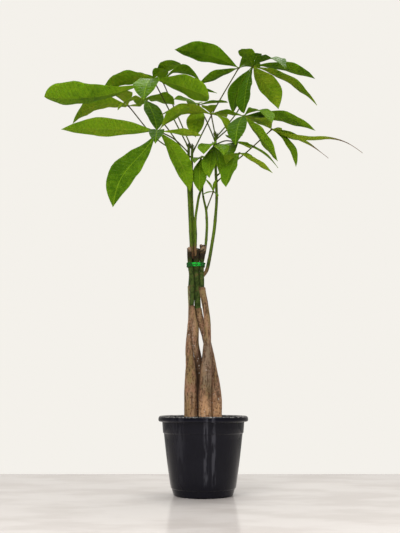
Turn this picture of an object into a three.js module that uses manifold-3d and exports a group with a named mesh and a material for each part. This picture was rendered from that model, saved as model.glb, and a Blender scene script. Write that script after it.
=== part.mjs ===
// A potted money tree: four trunks leaning into a bundle, tied once, with long side shoots that
// carry hand-shaped leaves, in a plain round nursery pot filled with soil.
// Millimetres, +Z up. The origin is the middle of the pot's underside, and the photograph's
// front is -Y. Every leaf is one solid: its stalk, the knot at its end and all its leaflets.

import * as THREE from 'three';
import { mergeVertices } from 'three/addons/utils/BufferGeometryUtils.js';
import Module from 'manifold-3d';

const wasm = await Module();
wasm.setup();

// Driving dimensions
const POT_HEIGHT = 170;
const RIM_RADIUS = 100;
const RIM_DEPTH = 12;
const BAND_BOTTOM = 134;
const BAND_RADIUS = 89.5;
const BODY_TOP_RADIUS = 87.4;
const BODY_BOTTOM_RADIUS = 71.8;
const FOOT_HEIGHT = 17;
const FOOT_TOP_RADIUS = 69.4;
const FOOT_RADIUS = 64.5;
const WALL = 2.6;
const FLOOR = 3.2;
const DRAIN_HOLES = 6;
const DRAIN_RADIUS = 4.5;
const DRAIN_CIRCLE = 42;
const SOIL_EDGE = 160;
const SOIL_CROWN = 165;
const SEAT_GAP = 0.3;
const TIE_BOTTOM = 506;
const TIE_TOP = 517;
const TIE_THICKNESS = 1.8;
const BLADE_THICKNESS = 0.8;
const BLADE_FOLD = 0.22;
const STALK_WIDTH = 2.6;
const STALK_THICKNESS = 2.2;
const TIP_WIDTH = 1.2;
const WIDEST_AT = 0.56;
const BASE_TAPER = 1.4;
const TIP_TAPER = 1.1;
const PETIOLE_RADIUS = 1.5;
const KNOT_RADIUS = 3;

const TIE_STEPS = 24;
const POT_SIDES = 36;
const TRUNK_SIDES = 10;
const SHOOT_SIDES = 8;
const PETIOLE_SIDES = 6;
const PETIOLE_STEPS = 5;
const BLADE_STATIONS = [0, 0.09, 0.22, 0.38, 0.55, 0.72, 0.87, 1];
const ROUND_STATIONS = [0, 0.09, 0.24, 0.4, 0.56, 0.72, 0.86, 0.95, 1];

const UP = new THREE.Vector3(0, 0, 1);
const RIGHT = new THREE.Vector3(1, 0, 0);

const point = (place) => new THREE.Vector3(...place);

// Solids
function solid(geometry) {
  const bare = geometry.clone();
  bare.deleteAttribute('normal');
  bare.deleteAttribute('uv');
  const merged = mergeVertices(bare, 1e-4);
  const mesh = new wasm.Mesh({
    numProp: 3,
    vertProperties: Float32Array.from(merged.attributes.position.array),
    triVerts: Uint32Array.from(merged.index.array),
  });
  return new wasm.Manifold(mesh);
}

function geometryOf(body) {
  const mesh = body.getMesh();
  const geometry = new THREE.BufferGeometry();
  geometry.setAttribute('position', new THREE.BufferAttribute(Float32Array.from(mesh.vertProperties), 3));
  geometry.setIndex(new THREE.BufferAttribute(Uint32Array.from(mesh.triVerts), 1));
  geometry.computeVertexNormals();
  return geometry;
}

const fuse = (bodies) => bodies.reduce((whole, body) => whole.add(body));

function closedSurface(vertices, faces) {
  const geometry = new THREE.BufferGeometry();
  const flat = vertices.flatMap((vertex) => vertex.toArray());
  geometry.setAttribute('position', new THREE.Float32BufferAttribute(flat, 3));
  geometry.setIndex(faces.flat());
  return geometry;
}

// A tube through hand-placed points, each with its own radius. grow makes it that much fatter and
// longer, to cut the clearance round it out of a neighbour
function tube(places, radii, sides, steps, { grow = 0, reference = RIGHT } = {}) {
  const path = new THREE.CatmullRomCurve3(places.map(point));
  const vertices = [];
  const faces = [];
  for (let step = 0; step <= steps; step += 1) {
    const t = step / steps;
    const centre = path.getPoint(t);
    const along = path.getTangent(t);
    const across = reference.clone().addScaledVector(along, -reference.dot(along)).normalize();
    const outward = along.clone().cross(across);
    const place = t * (radii.length - 1);
    const before = Math.min(Math.floor(place), radii.length - 2);
    const radius = grow + THREE.MathUtils.lerp(radii[before], radii[before + 1], place - before);
    if (step === 0) centre.addScaledVector(along, -grow);
    if (step === steps) centre.addScaledVector(along, grow);
    for (let side = 0; side < sides; side += 1) {
      const angle = (2 * Math.PI * side) / sides;
      vertices.push(centre.clone()
        .addScaledVector(across, radius * Math.cos(angle))
        .addScaledVector(outward, radius * Math.sin(angle)));
    }
  }
  for (let step = 0; step < steps; step += 1) {
    for (let side = 0; side < sides; side += 1) {
      const next = (side + 1) % sides;
      const low = step * sides;
      const high = low + sides;
      faces.push([low + side, low + next, high + next], [low + side, high + next, high + side]);
    }
  }
  for (let side = 1; side < sides - 1; side += 1) {
    const last = steps * sides;
    faces.push([0, side + 1, side], [last, last + side, last + side + 1]);
  }
  return solid(closedSurface(vertices, faces));
}

// Pot and soil
function potProfile() {
  const rimBottom = POT_HEIGHT - RIM_DEPTH;
  return [
    [0, 0], [FOOT_RADIUS - 2, 0], [FOOT_RADIUS + 1, 3], [FOOT_TOP_RADIUS, FOOT_HEIGHT - 2],
    [BODY_BOTTOM_RADIUS, FOOT_HEIGHT],
    [BODY_TOP_RADIUS, BAND_BOTTOM - 2], [BAND_RADIUS, BAND_BOTTOM],
    [BAND_RADIUS + 2, rimBottom], [RIM_RADIUS - 1.5, rimBottom], [RIM_RADIUS, rimBottom + 2.5],
    [RIM_RADIUS, POT_HEIGHT - 3.5], [RIM_RADIUS - 4, POT_HEIGHT], [RIM_RADIUS - 8, POT_HEIGHT - 1.5],
    [BAND_RADIUS + 1.5 - WALL, rimBottom - 1],
    [BAND_RADIUS - WALL, BAND_BOTTOM], [BODY_BOTTOM_RADIUS - WALL, FOOT_HEIGHT],
    [FOOT_RADIUS + 1 - WALL, FLOOR], [0, FLOOR],
  ];
}

const lathe = (profile) => solid(new THREE.LatheGeometry(
  profile.map(([radius, height]) => new THREE.Vector2(radius, height)), POT_SIDES,
).rotateX(Math.PI / 2));

function buildPot() {
  let pot = lathe(potProfile());
  for (let hole = 0; hole < DRAIN_HOLES; hole += 1) {
    const angle = (2 * Math.PI * (hole + 0.5)) / DRAIN_HOLES;
    const drill = new THREE.CylinderGeometry(DRAIN_RADIUS, DRAIN_RADIUS, 4 * FLOOR, 12)
      .rotateX(Math.PI / 2)
      .translate(DRAIN_CIRCLE * Math.cos(angle), DRAIN_CIRCLE * Math.sin(angle), 0);
    pot = pot.subtract(solid(drill));
  }
  return pot;
}

function buildSoil(holes) {
  const inside = WALL + SEAT_GAP;
  const soil = lathe([
    [0, FLOOR + SEAT_GAP], [FOOT_RADIUS + 1 - inside, FLOOR + SEAT_GAP],
    [BODY_BOTTOM_RADIUS - inside, FOOT_HEIGHT + SEAT_GAP], [BAND_RADIUS - inside, BAND_BOTTOM],
    [BAND_RADIUS + 1.2 - inside, SOIL_EDGE - 4], [BAND_RADIUS - 2 - inside, SOIL_EDGE],
    [60, SOIL_EDGE + 2.5], [30, SOIL_CROWN], [0, SOIL_CROWN],
  ]);
  return soil.subtract(holes);
}

// Trunks: brown bark from inside the soil up to the scar where each was topped
const ROOT_DEPTH = 110;
const TRUNKS = {
  left: {
    places: [[-27, -7, ROOT_DEPTH], [-27, -7, 174], [-27.8, -7, 216], [-27.6, -5, 260], [-28.4, -2, 280],
      [-30.4, 1, 300], [-31.4, 4, 316], [-31.2, 7, 330], [-30.2, 8, 349], [-28.4, 8.5, 374], [-28, 9, 418],
      [-30, 9, 467]],
    radii: [15.5, 15.4, 15, 13.1, 11.3, 9.4, 8.7, 8.3, 7.7, 7, 6.5, 5.6],
  },
  back: {
    places: [[-1, 24, ROOT_DEPTH], [-3, 22, 173], [-5.5, 18, 238], [-8.7, 11.5, 281], [-11.8, 4.5, 300],
      [-15, -3, 316], [-17.4, -6, 329], [-18.2, -7.7, 343], [-18.4, -8.5, 365], [-22.6, -9.5, 390],
      [-26.3, -10.5, 417]],
    radii: [12.5, 12, 11, 9.6, 8.5, 7.8, 7.5, 7.8, 8.2, 7, 6.4],
  },
  front: {
    places: [[4, -16, ROOT_DEPTH], [4, -16, 174], [4, -15.5, 205], [4.5, -15, 235], [7, -15, 271],
      [8, -15, 299], [9, -14, 326], [10, -13, 349], [9, -10, 384], [6.5, -6, 407], [2.6, -4.5, 430],
      [-0.6, -4, 446], [-2.6, -3.5, 460]],
    radii: [14.8, 14.5, 14.5, 13.8, 12.6, 10.8, 9, 7.8, 7, 6.8, 7.1, 7.5, 7.6],
  },
  right: {
    places: [[29, 4, ROOT_DEPTH], [27.5, 4, 174], [28, 5, 205], [25.5, 7, 238], [20.5, 8.5, 271],
      [16, 8.5, 301], [10.4, 8, 328], [4.8, 7.4, 351], [-2, 4.5, 371], [-8.2, 1.5, 389], [-12, -0.5, 413]],
    radii: [14.2, 14, 13.8, 12.6, 11.2, 10.2, 9.2, 8.7, 8.6, 8.9, 8.7],
  },
};

// Green stems above the scars, with their cut stubs, and the side shoots that grow from them
const STEMS = {
  back: [
    { places: [[-26.4, -10, 412], [-25.4, -9, 440], [-25, -8.5, 464], [-27, -7.5, 488], [-29.6, -7, 506],
      [-31.2, -7, 530], [-32, -6.5, 552]],
    radii: [5, 5, 5, 5.3, 5.9, 5.5, 4.9], steps: 8, sides: 9 },
    { places: [[-30, -5, 520], [-27.5, -4, 548], [-29, -4, 583], [-30.5, -4, 619], [-32, -4, 656],
      [-34, -4, 693], [-35, -4, 742], [-34, -4, 800]],
    radii: [3.5, 3.8, 3.9, 3.9, 3.8, 3.7, 3.4, 3], steps: 10, sides: SHOOT_SIDES },
  ],
  right: [
    { places: [[-12.2, -0.5, 409], [-13.6, 0, 440], [-14.2, 1, 466], [-15.6, 1.5, 506], [-14.4, 1, 530],
      [-13, 0.5, 549]],
    radii: [7.4, 7.3, 7, 7.2, 6.8, 5.9], steps: 7, sides: 9 },
    { places: [[-15.5, -1, 528], [-18, -4, 548], [-17, -5, 583], [-18, -6, 619], [-14, -6, 651],
      [-10, -6, 675], [-5, -6, 693], [-1, -7, 722], [1, -8, 757]],
    radii: [2.9, 3.1, 3.1, 3, 2.9, 2.8, 2.6, 2.3, 2], steps: 10, sides: SHOOT_SIDES },
  ],
  front: [
    { places: [[-2.3, -3.5, 454], [-2.8, -3.5, 485], [-3.2, -3.5, 506], [-3, -3.5, 519], [-1.6, -3.5, 535],
      [0, -4, 557]],
    radii: [5.4, 5.2, 4.8, 4.9, 6.2, 7.9], steps: 7, sides: 9 },
    { places: [[3, -3, 538], [6, -3, 560], [8, -3, 584], [9, -3, 605], [8.5, -2, 625], [7, 0, 646],
      [1.5, 5, 673], [-1, 9, 693], [0, 12, 722]],
    radii: [3, 3.1, 3.1, 3, 2.9, 2.8, 2.3, 2, 1.8], steps: 10, sides: SHOOT_SIDES },
    { places: [[0, -3, 486], [8, -3, 499], [15, -3, 529], [21, -3, 564], [26, -3, 596], [29.5, -3, 632],
      [32, -3, 668], [31.5, -3, 705], [30, -3, 755], [30, -3, 792], [30, -3, 828]],
    radii: [3.6, 4.2, 3.9, 3.9, 3.8, 3.6, 3.4, 3.3, 3.2, 3.1, 2.8], steps: 10, sides: SHOOT_SIDES },
  ],
  left: [
    { places: [[-30, 9, 462], [-28, 9.5, 490], [-26, 9.5, 515], [-23, 9.5, 540], [-22, 9.5, 549]],
      radii: [5, 4.9, 4.9, 4.6, 4.2], steps: 6, sides: 9 },
    { places: [[-24.5, 8, 528], [-22.5, 5, 549], [-23, 4.5, 585], [-24, 4.5, 622], [-26, 4.5, 658],
      [-27, 4.5, 695], [-27, 4.5, 745], [-26, 4.5, 800]],
    radii: [3.2, 3.3, 3.4, 3.4, 3.4, 3.3, 3.2, 2.9], steps: 10, sides: SHOOT_SIDES },
  ],
};

const buildTrunk = ({ places, radii }, grow = 0) =>
  tube(places, radii, TRUNK_SIDES, places.length + 3, { grow });

const buildStem = (tubes, grow = 0) => fuse(tubes.map(({ places, radii, steps, sides }) =>
  tube(places, radii, sides, steps, { grow })));

// The tie: one band drawn tight round the four stems
function tieOutline(grow) {
  const stems = [[-29.9, -7, 6.2], [-16, 1.5, 7.4], [-3.2, -3.5, 5.2], [-26.5, 9.5, 5]];
  const outline = [];
  for (let step = 0; step < TIE_STEPS; step += 1) {
    const angle = (2 * Math.PI * step) / TIE_STEPS;
    const reach = (stem) => stem[0] * Math.cos(angle) + stem[1] * Math.sin(angle) + stem[2];
    const [x, y, radius] = stems.reduce((best, stem) => (reach(stem) > reach(best) ? stem : best));
    outline.push(new THREE.Vector2(
      x + (radius + grow) * Math.cos(angle), y + (radius + grow) * Math.sin(angle)));
  }
  return outline;
}

function buildTie() {
  const band = (grow, bottom, top) => solid(new THREE.ExtrudeGeometry(
    new THREE.Shape(tieOutline(grow)), { depth: top - bottom, bevelEnabled: false },
  ).translate(0, 0, bottom));
  const clear = 2 * SEAT_GAP;
  const inside = band(clear, TIE_BOTTOM - 5, TIE_TOP + 5);
  return band(clear + TIE_THICKNESS, TIE_BOTTOM, TIE_TOP).subtract(inside);
}

// One leaflet, from the knot to its drip tip. reach is the tip seen from the knot (right, back,
// up); arch is how far the rib bows above the straight line; twist turns the blade about its rib;
// sway dips the rib near the knot and lifts it near the tip
function leaflet(knot, [right, back, up, width, arch, twist, shaping = {}]) {
  const { base = BASE_TAPER, tip = TIP_TAPER, fold = BLADE_FOLD } = shaping;
  const { sway = 0, stations = BLADE_STATIONS } = shaping;
  const chord = new THREE.Vector3(right, back, up);
  const across = chord.clone().cross(UP).normalize();
  const lift = across.clone().cross(chord).normalize();
  const bend = knot.clone().addScaledVector(chord, 0.5).addScaledVector(lift, 2 * arch);
  const bow = new THREE.QuadraticBezierCurve3(knot, bend, knot.clone().add(chord));
  const rib = (t) => bow.getPoint(t).addScaledVector(lift, -sway * Math.sin(2 * Math.PI * t));
  const vertices = [];
  const faces = [];
  for (const t of stations) {
    const centre = rib(t);
    const along = rib(Math.min(1, t + 0.01)).sub(rib(Math.max(0, t - 0.01))).normalize();
    const level = along.clone().cross(lift).normalize();
    const side = level.applyAxisAngle(along, THREE.MathUtils.degToRad(twist));
    const face = side.clone().cross(along);
    const shape = Math.pow(t / WIDEST_AT, base) * Math.pow((1 - t) / (1 - WIDEST_AT), tip);
    const narrow = t < 0.5 ? STALK_WIDTH : TIP_WIDTH;
    const half = Math.max(narrow, width * shape) / 2;
    const thick = t < 0.05 ? STALK_THICKNESS : BLADE_THICKNESS;
    const raise = t < 0.05 ? 0 : half * fold;
    for (const layer of [0.5, -0.5]) {
      for (const edge of [-1, 0, 1]) {
        vertices.push(centre.clone()
          .addScaledVector(side, edge * half)
          .addScaledVector(face, layer * thick + Math.abs(edge) * raise));
      }
    }
  }
  const last = stations.length - 1;
  const at = (station, layer, column) => station * 6 + layer * 3 + column;
  for (let station = 0; station < last; station += 1) {
    for (const column of [0, 1]) {
      const [a, b] = [at(station, 0, column), at(station, 0, column + 1)];
      const [c, d] = [b + 6, a + 6];
      faces.push([a, b, c], [a, c, d], [a + 3, c + 3, b + 3], [a + 3, d + 3, c + 3]);
    }
    for (const [column, turn] of [[0, false], [2, true]]) {
      const [a, b, c, d] = [at(station, 0, column), at(station, 1, column),
        at(station + 1, 1, column), at(station + 1, 0, column)];
      faces.push(...(turn ? [[a, b, c], [a, c, d]] : [[a, c, b], [a, d, c]]));
    }
  }
  for (const [station, turn] of [[0, false], [last, true]]) {
    for (const column of [0, 1]) {
      const [a, b, c, d] = [at(station, 0, column), at(station, 0, column + 1),
        at(station, 1, column + 1), at(station, 1, column)];
      faces.push(...(turn ? [[a, b, c], [a, c, d]] : [[a, c, b], [a, d, c]]));
    }
  }
  return solid(closedSurface(vertices, faces));
}

// One leaf: the stalk from its shoot to the knot, bowed sideways, and the leaflets round the knot
function buildLeaf({ root, knot, bow, leaflets }, clearance) {
  const start = point(root);
  const end = point(knot);
  const middle = start.clone().lerp(end, 0.5).add(point(bow));
  const reference = end.clone().sub(start).cross(UP).normalize();
  const stalk = tube([start, middle, end].map((place) => place.toArray()),
    [PETIOLE_RADIUS * 1.15, PETIOLE_RADIUS, PETIOLE_RADIUS], PETIOLE_SIDES, PETIOLE_STEPS, { reference });
  const ball = solid(new THREE.IcosahedronGeometry(KNOT_RADIUS, 0).translate(...knot));
  const blades = leaflets.map((row) => leaflet(end, row));
  return fuse([stalk, ball, ...blades]).subtract(clearance);
}

// Leaves. Each leaflet is: right, back, up, width, arch, twist and, where it isn't the usual, how
// its base and tip taper, how its halves fold and how its rib sways
const ROUND_TIP = { base: 2, tip: 0.6, fold: 0.42, stations: ROUND_STATIONS };
const BLUNT_TIP = { base: 1.5, tip: 0.65, stations: ROUND_STATIONS };
const LEAVES = {
  leaf_low_left: {
    root: [-34, -4, 785], knot: [-102, -90, 806], bow: [0, 0, 8],
    leaflets: [
      [-219, -10, 0, 56, 3, 26],
      [-93, -50, -193, 62, 13, -55, { base: 1.8, sway: 6 }],
      [0, -95, -66, 34, 12, 0],
      [72, 40, -131, 44, 14, -35],
      [98, -30, -22, 30, 0, -10, { base: 2 }],
      [72, -60, 32, 40, 8, 0, { base: 2 }],
    ],
  },
  leaf_far_left: {
    root: [-26, 4.5, 776], knot: [-185, 30, 920], bow: [0, 0, -26],
    leaflets: [
      [-128, -40, -64, 54, 25, 20],
      [-77, 40, 62, 50, 6, 0],
      [-143, 10, 12, 50, 12, 0],
      [-59, 60, 22, 42, 0, 0],
      [-12, -90, -4, 44, 8, 0],
      [25, 60, 24, 36, 0, 0],
    ],
  },
  leaf_inner_left: {
    root: [-34.5, -4, 770], knot: [-142, -30, 911], bow: [0, 0, 6],
    leaflets: [
      [34, -25, -90, 49, 8, 22],
      [-56, -40, -46, 42, 8, 0],
      [-18, 72, 12, 38, 6, 0],
      [72, 52, 8, 60, 6, 0],
    ],
  },
  leaf_high_left: {
    root: [-34, -4, 797], knot: [-115, -100, 928], bow: [0, 0, 0],
    leaflets: [
      [-243, -20, -52, 57, -20, 20, ROUND_TIP],
      [-124, 50, -4, 52, 12, 8, { base: 1 }],
      [-14, -80, -88, 58, 14, 0],
      [59, -80, 1, 38, 4, 0, { base: 1.7, tip: 0.7 }],
      [28, -58, -4, 28, 4, 0],
      [128, -50, -67, 60, 4, -31, BLUNT_TIP],
    ],
  },
  leaf_back_left: {
    root: [-26, 4.5, 797], knot: [-100, 40, 987], bow: [0, 0, 0],
    leaflets: [
      [93, 20, 12, 46, 30, 0],
      [70, -50, -46, 32, 12, 0],
      [-95, 40, 20, 45, 10, 0],
      [-5, -70, 4, 36, 4, 0],
      [137, 60, -2, 22, 2, 0],
    ],
  },
  leaf_middle: {
    root: [30, -3, 812], knot: [-11, 20, 918], bow: [0, 0, 4],
    leaflets: [
      [-7, -20, -92, 47, 4, 0],
      [-59, -40, -4, 36, 4, -40],
      [75, 60, 32, 28, 2, 6],
      [70, -20, 0, 24, 3, 20],
      [-20, 90, 35, 40, 6, 0],
    ],
  },
  leaf_top: {
    root: [-26, 4.5, 786], knot: [90, 40, 1025], bow: [-4, 0, 0],
    leaflets: [
      [-159, -60, 18, 62, 12, 20],
      [-100, 40, -26, 42, 3, 0],
      [60, 60, 30, 45, 6, 0],
      [52, -70, 2, 40, 6, 0],
    ],
  },
  leaf_top_right: {
    root: [30, -3, 822], knot: [121, -20, 1000], bow: [14, 8, -10],
    leaflets: [
      [-32, -85, 0, 38, 6, 0],
      [68, -80, -47, 54, 21, 12, { base: 1.1 }],
      [-49, 4, -119, 46, 12, 34, { base: 2 }],
      [-25, -30, -134, 50, 8, 12, { tip: 0.8 }],
      [63, 30, -98, 53, 8, -24, { base: 1.2, sway: 4 }],
      [149, -20, -110, 50, 13, 0],
      [160, 60, -4, 46, 12, 0],
    ],
  },
  leaf_front: {
    root: [30, -3, 826], knot: [19, -40, 868], bow: [0, 0, 0],
    leaflets: [
      [-116, -50, -24, 48, 13, 0],
      [38, -40, -62, 36, 12, 0],
      [-80, 30, 10, 36, 6, 0],
      [40, 80, 25, 35, 6, 0],
      [-10, -60, -6, 34, 6, 0],
    ],
  },
  leaf_right: {
    root: [30, -3, 818], knot: [94, -60, 855], bow: [0, 0, 0],
    leaflets: [
      [163, -20, -44, 50, 12, -8],
      [74, -30, -121, 49, 2, -30],
      [-22, -55, -92, 47, 12, 0],
      [-63, 25, 17, 34, 2, 0],
      [58, -78, -50, 48, 20, 8],
      [60, 90, 14, 40, 2, 0],
    ],
  },
  leaf_far_right: {
    root: [31, -3, 727], knot: [164, -20, 838], bow: [0, 0, -4],
    leaflets: [
      [-44, -76, -4, 36, 2, 0],
      [204, -40, -74, 20, 5, 0, { base: 1, tip: 2.4, sway: 12 }],
      [140, 40, -58, 14, 10, 0, { base: 1, tip: 2.4 }],
      [55, 0, -93, 30, 14, 48],
      [30, 80, 24, 24, 4, 0],
    ],
  },
  leaf_low_right: {
    root: [31.5, -3, 712], knot: [83, -80, 757], bow: [0, 0, -8],
    leaflets: [
      [72, -20, -54, 28, 1, -15],
      [-33, -30, -90, 50, 6, 0],
      [-34, 46, -18, 34, 6, 0],
      [36, 80, 10, 18, 4, 0],
    ],
  },
  leaf_inner_right: {
    root: [30, -3, 806], knot: [78, 20, 822], bow: [0, 0, 6],
    leaflets: [
      [100, -30, -77, 26, 12, 0],
      [-30, -44, -80, 54, 8, 0, { base: 0.9 }],
      [-8, -66, -12, 42, 5, 0],
      [44, 70, 8, 20, 4, 0],
    ],
  },
  leaf_low_middle: {
    root: [30, -3, 788], knot: [25, -70, 780], bow: [0, 0, 8],
    leaflets: [
      [-11, -15, -84, 40, 6, 0],
      [12, -10, -74, 36, 6, 0],
      [-24, -50, -40, 44, 10, 0],
      [20, -50, -42, 40, 10, 0],
    ],
  },
  leaf_inner_low: {
    root: [1, -8, 752], knot: [-6, -36, 760], bow: [0, 0, 4],
    leaflets: [
      [-2, -14, -86, 34, 6, 0],
      [-14, -40, -26, 20, 6, 0],
      [22, -36, -20, 20, 6, 0],
    ],
  },
  leaf_young: {
    root: [7, -0.5, 643], knot: [24, -20, 684], bow: [0, 0, 0],
    leaflets: [
      [-19, -10, 28, 9, 2, 0],
      [-25, 4, -7, 9, 2, 0],
      [7, -12, 26, 9, 2, 0],
      [10, -15, -18, 10, 2, 0],
    ],
  },
};

// Colours
const finish = (color, roughness) => new THREE.MeshStandardMaterial({ color, roughness, metalness: 0 });
const COLOURS = {
  pot: finish(0x1d1c20, 0.3),
  soil: finish(0x2b211a, 0.95),
  bark: finish(0x8a7358, 0.85),
  stem: finish(0x4f7322, 0.55),
  leaf: finish(0x3f7d12, 0.45),
  tie: finish(0x1fae3a, 0.3),
};

const group = new THREE.Group();

function addPart(name, body, material) {
  const mesh = new THREE.Mesh(geometryOf(body), material);
  mesh.name = name;
  group.add(mesh);
}

const trunkClearance = fuse(Object.values(TRUNKS).map((trunk) => buildTrunk(trunk, SEAT_GAP)));
const stemClearance = fuse(Object.values(STEMS).map((tubes) => buildStem(tubes, SEAT_GAP)));

addPart('pot', buildPot(), COLOURS.pot);
addPart('soil', buildSoil(trunkClearance), COLOURS.soil);
for (const [side, trunk] of Object.entries(TRUNKS)) {
  addPart(`trunk_${side}`, buildTrunk(trunk), COLOURS.bark);
}
for (const [side, tubes] of Object.entries(STEMS)) {
  addPart(`stem_${side}`, buildStem(tubes).subtract(trunkClearance), COLOURS.stem);
}
addPart('tie', buildTie(), COLOURS.tie);
for (const [name, leaf] of Object.entries(LEAVES)) {
  addPart(name, buildLeaf(leaf, stemClearance), COLOURS.leaf);
}

export default group;
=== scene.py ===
"""Dresses a potted money tree: bark, green shoots, veined hand-shaped leaves, a nursery pot and its soil."""

import math

import bmesh
import bpy
import numpy as np
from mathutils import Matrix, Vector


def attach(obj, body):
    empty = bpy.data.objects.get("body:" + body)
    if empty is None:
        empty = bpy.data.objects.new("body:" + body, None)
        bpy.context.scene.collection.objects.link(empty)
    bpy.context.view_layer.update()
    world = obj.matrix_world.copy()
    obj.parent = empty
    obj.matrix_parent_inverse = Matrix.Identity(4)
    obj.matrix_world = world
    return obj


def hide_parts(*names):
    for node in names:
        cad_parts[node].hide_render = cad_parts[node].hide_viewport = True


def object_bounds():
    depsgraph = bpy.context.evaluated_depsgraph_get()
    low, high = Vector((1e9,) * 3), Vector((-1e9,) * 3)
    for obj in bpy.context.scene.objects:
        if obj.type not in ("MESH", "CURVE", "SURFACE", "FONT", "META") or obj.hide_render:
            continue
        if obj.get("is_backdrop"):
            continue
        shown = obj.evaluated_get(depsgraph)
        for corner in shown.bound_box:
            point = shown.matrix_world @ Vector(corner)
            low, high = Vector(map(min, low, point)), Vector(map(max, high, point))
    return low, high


bl_info = {
    "name": "Potted money tree",
    "version": (1, 0, 0),
    "blender": (4, 5, 0),
    "location": "View3D > Sidebar > Money Tree",
    "description": "Builds the looks of a potted money tree over its fixed frame",
    "category": "Object",
}

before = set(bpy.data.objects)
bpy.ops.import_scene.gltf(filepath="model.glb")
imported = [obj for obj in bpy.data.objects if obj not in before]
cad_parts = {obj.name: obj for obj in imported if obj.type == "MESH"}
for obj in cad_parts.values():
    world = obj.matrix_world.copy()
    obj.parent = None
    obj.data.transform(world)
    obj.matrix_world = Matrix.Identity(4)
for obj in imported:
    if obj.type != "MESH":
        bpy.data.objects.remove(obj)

BODY = "root"
MM = 0.001
UP = np.array([0.0, 0.0, 1.0])
RIGHT = np.array([1.0, 0.0, 0.0])
FULL_TURN = 2 * math.pi

# Sizes shared with the solids, in millimetres
POT_HEIGHT = 170
RIM_RADIUS = 100
RIM_DEPTH = 12
BAND_BOTTOM = 134
BAND_RADIUS = 89.5
BODY_TOP_RADIUS = 87.4
BODY_BOTTOM_RADIUS = 71.8
FOOT_HEIGHT = 17
FOOT_TOP_RADIUS = 69.4
FOOT_RADIUS = 64.5
WALL = 2.6
FLOOR = 3.2
DRAIN_HOLES = 6
DRAIN_RADIUS = 4.5
DRAIN_CIRCLE = 42
SOIL_EDGE = 160
SOIL_CROWN = 165
ROOT_DEPTH = 110
SEAT_GAP = 0.3
TIE_BOTTOM = 506
TIE_TOP = 517
TIE_TURNS = 3
BLADE_THICKNESS = 0.8
BLADE_FOLD = 0.22
STALK_WIDTH = 2.6
STALK_THICKNESS = 2.2
TIP_WIDTH = 1.2
WIDEST_AT = 0.56
BASE_TAPER = 1.4
TIP_TAPER = 1.1
PETIOLE_RADIUS = 1.5
KNOT_RADIUS = 3

# Trunks, from inside the soil up to the scar where each was topped: right, back, up and radius
TRUNKS = {
    "left": [
        (-27, -7, ROOT_DEPTH, 15.5), (-27, -7, 174, 15.4), (-27.8, -7, 216, 15), (-27.6, -5, 260, 13.1),
        (-28.4, -2, 280, 11.3), (-30.4, 1, 300, 9.4), (-31.4, 4, 316, 8.7), (-31.2, 7, 330, 8.3),
        (-30.2, 8, 349, 7.7), (-28.4, 8.5, 374, 7), (-28, 9, 418, 6.5), (-30, 9, 467, 5.6)],
    "back": [
        (-1, 24, ROOT_DEPTH, 12.5), (-3, 22, 173, 12), (-5.5, 18, 238, 11), (-8.7, 11.5, 281, 9.6),
        (-11.8, 4.5, 300, 8.5), (-15, -3, 316, 7.8), (-17.4, -6, 329, 7.5), (-18.2, -7.7, 343, 7.8),
        (-18.4, -8.5, 365, 8.2), (-22.6, -9.5, 390, 7), (-26.3, -10.5, 417, 6.4)],
    "front": [
        (4, -16, ROOT_DEPTH, 14.8), (4, -16, 174, 14.5), (4, -15.5, 205, 14.5), (4.5, -15, 235, 13.8),
        (7, -15, 271, 12.6), (8, -15, 299, 10.8), (9, -14, 326, 9), (10, -13, 349, 7.8), (9, -10, 384, 7),
        (6.5, -6, 407, 6.8), (2.6, -4.5, 430, 7.1), (-0.6, -4, 446, 7.5), (-2.6, -3.5, 460, 7.6)],
    "right": [
        (29, 4, ROOT_DEPTH, 14.2), (27.5, 4, 174, 14), (28, 5, 205, 13.8), (25.5, 7, 238, 12.6),
        (20.5, 8.5, 271, 11.2), (16, 8.5, 301, 10.2), (10.4, 8, 328, 9.2), (4.8, 7.4, 351, 8.7),
        (-2, 4.5, 371, 8.6), (-8.2, 1.5, 389, 8.9), (-12, -0.5, 413, 8.7)],
}

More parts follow.
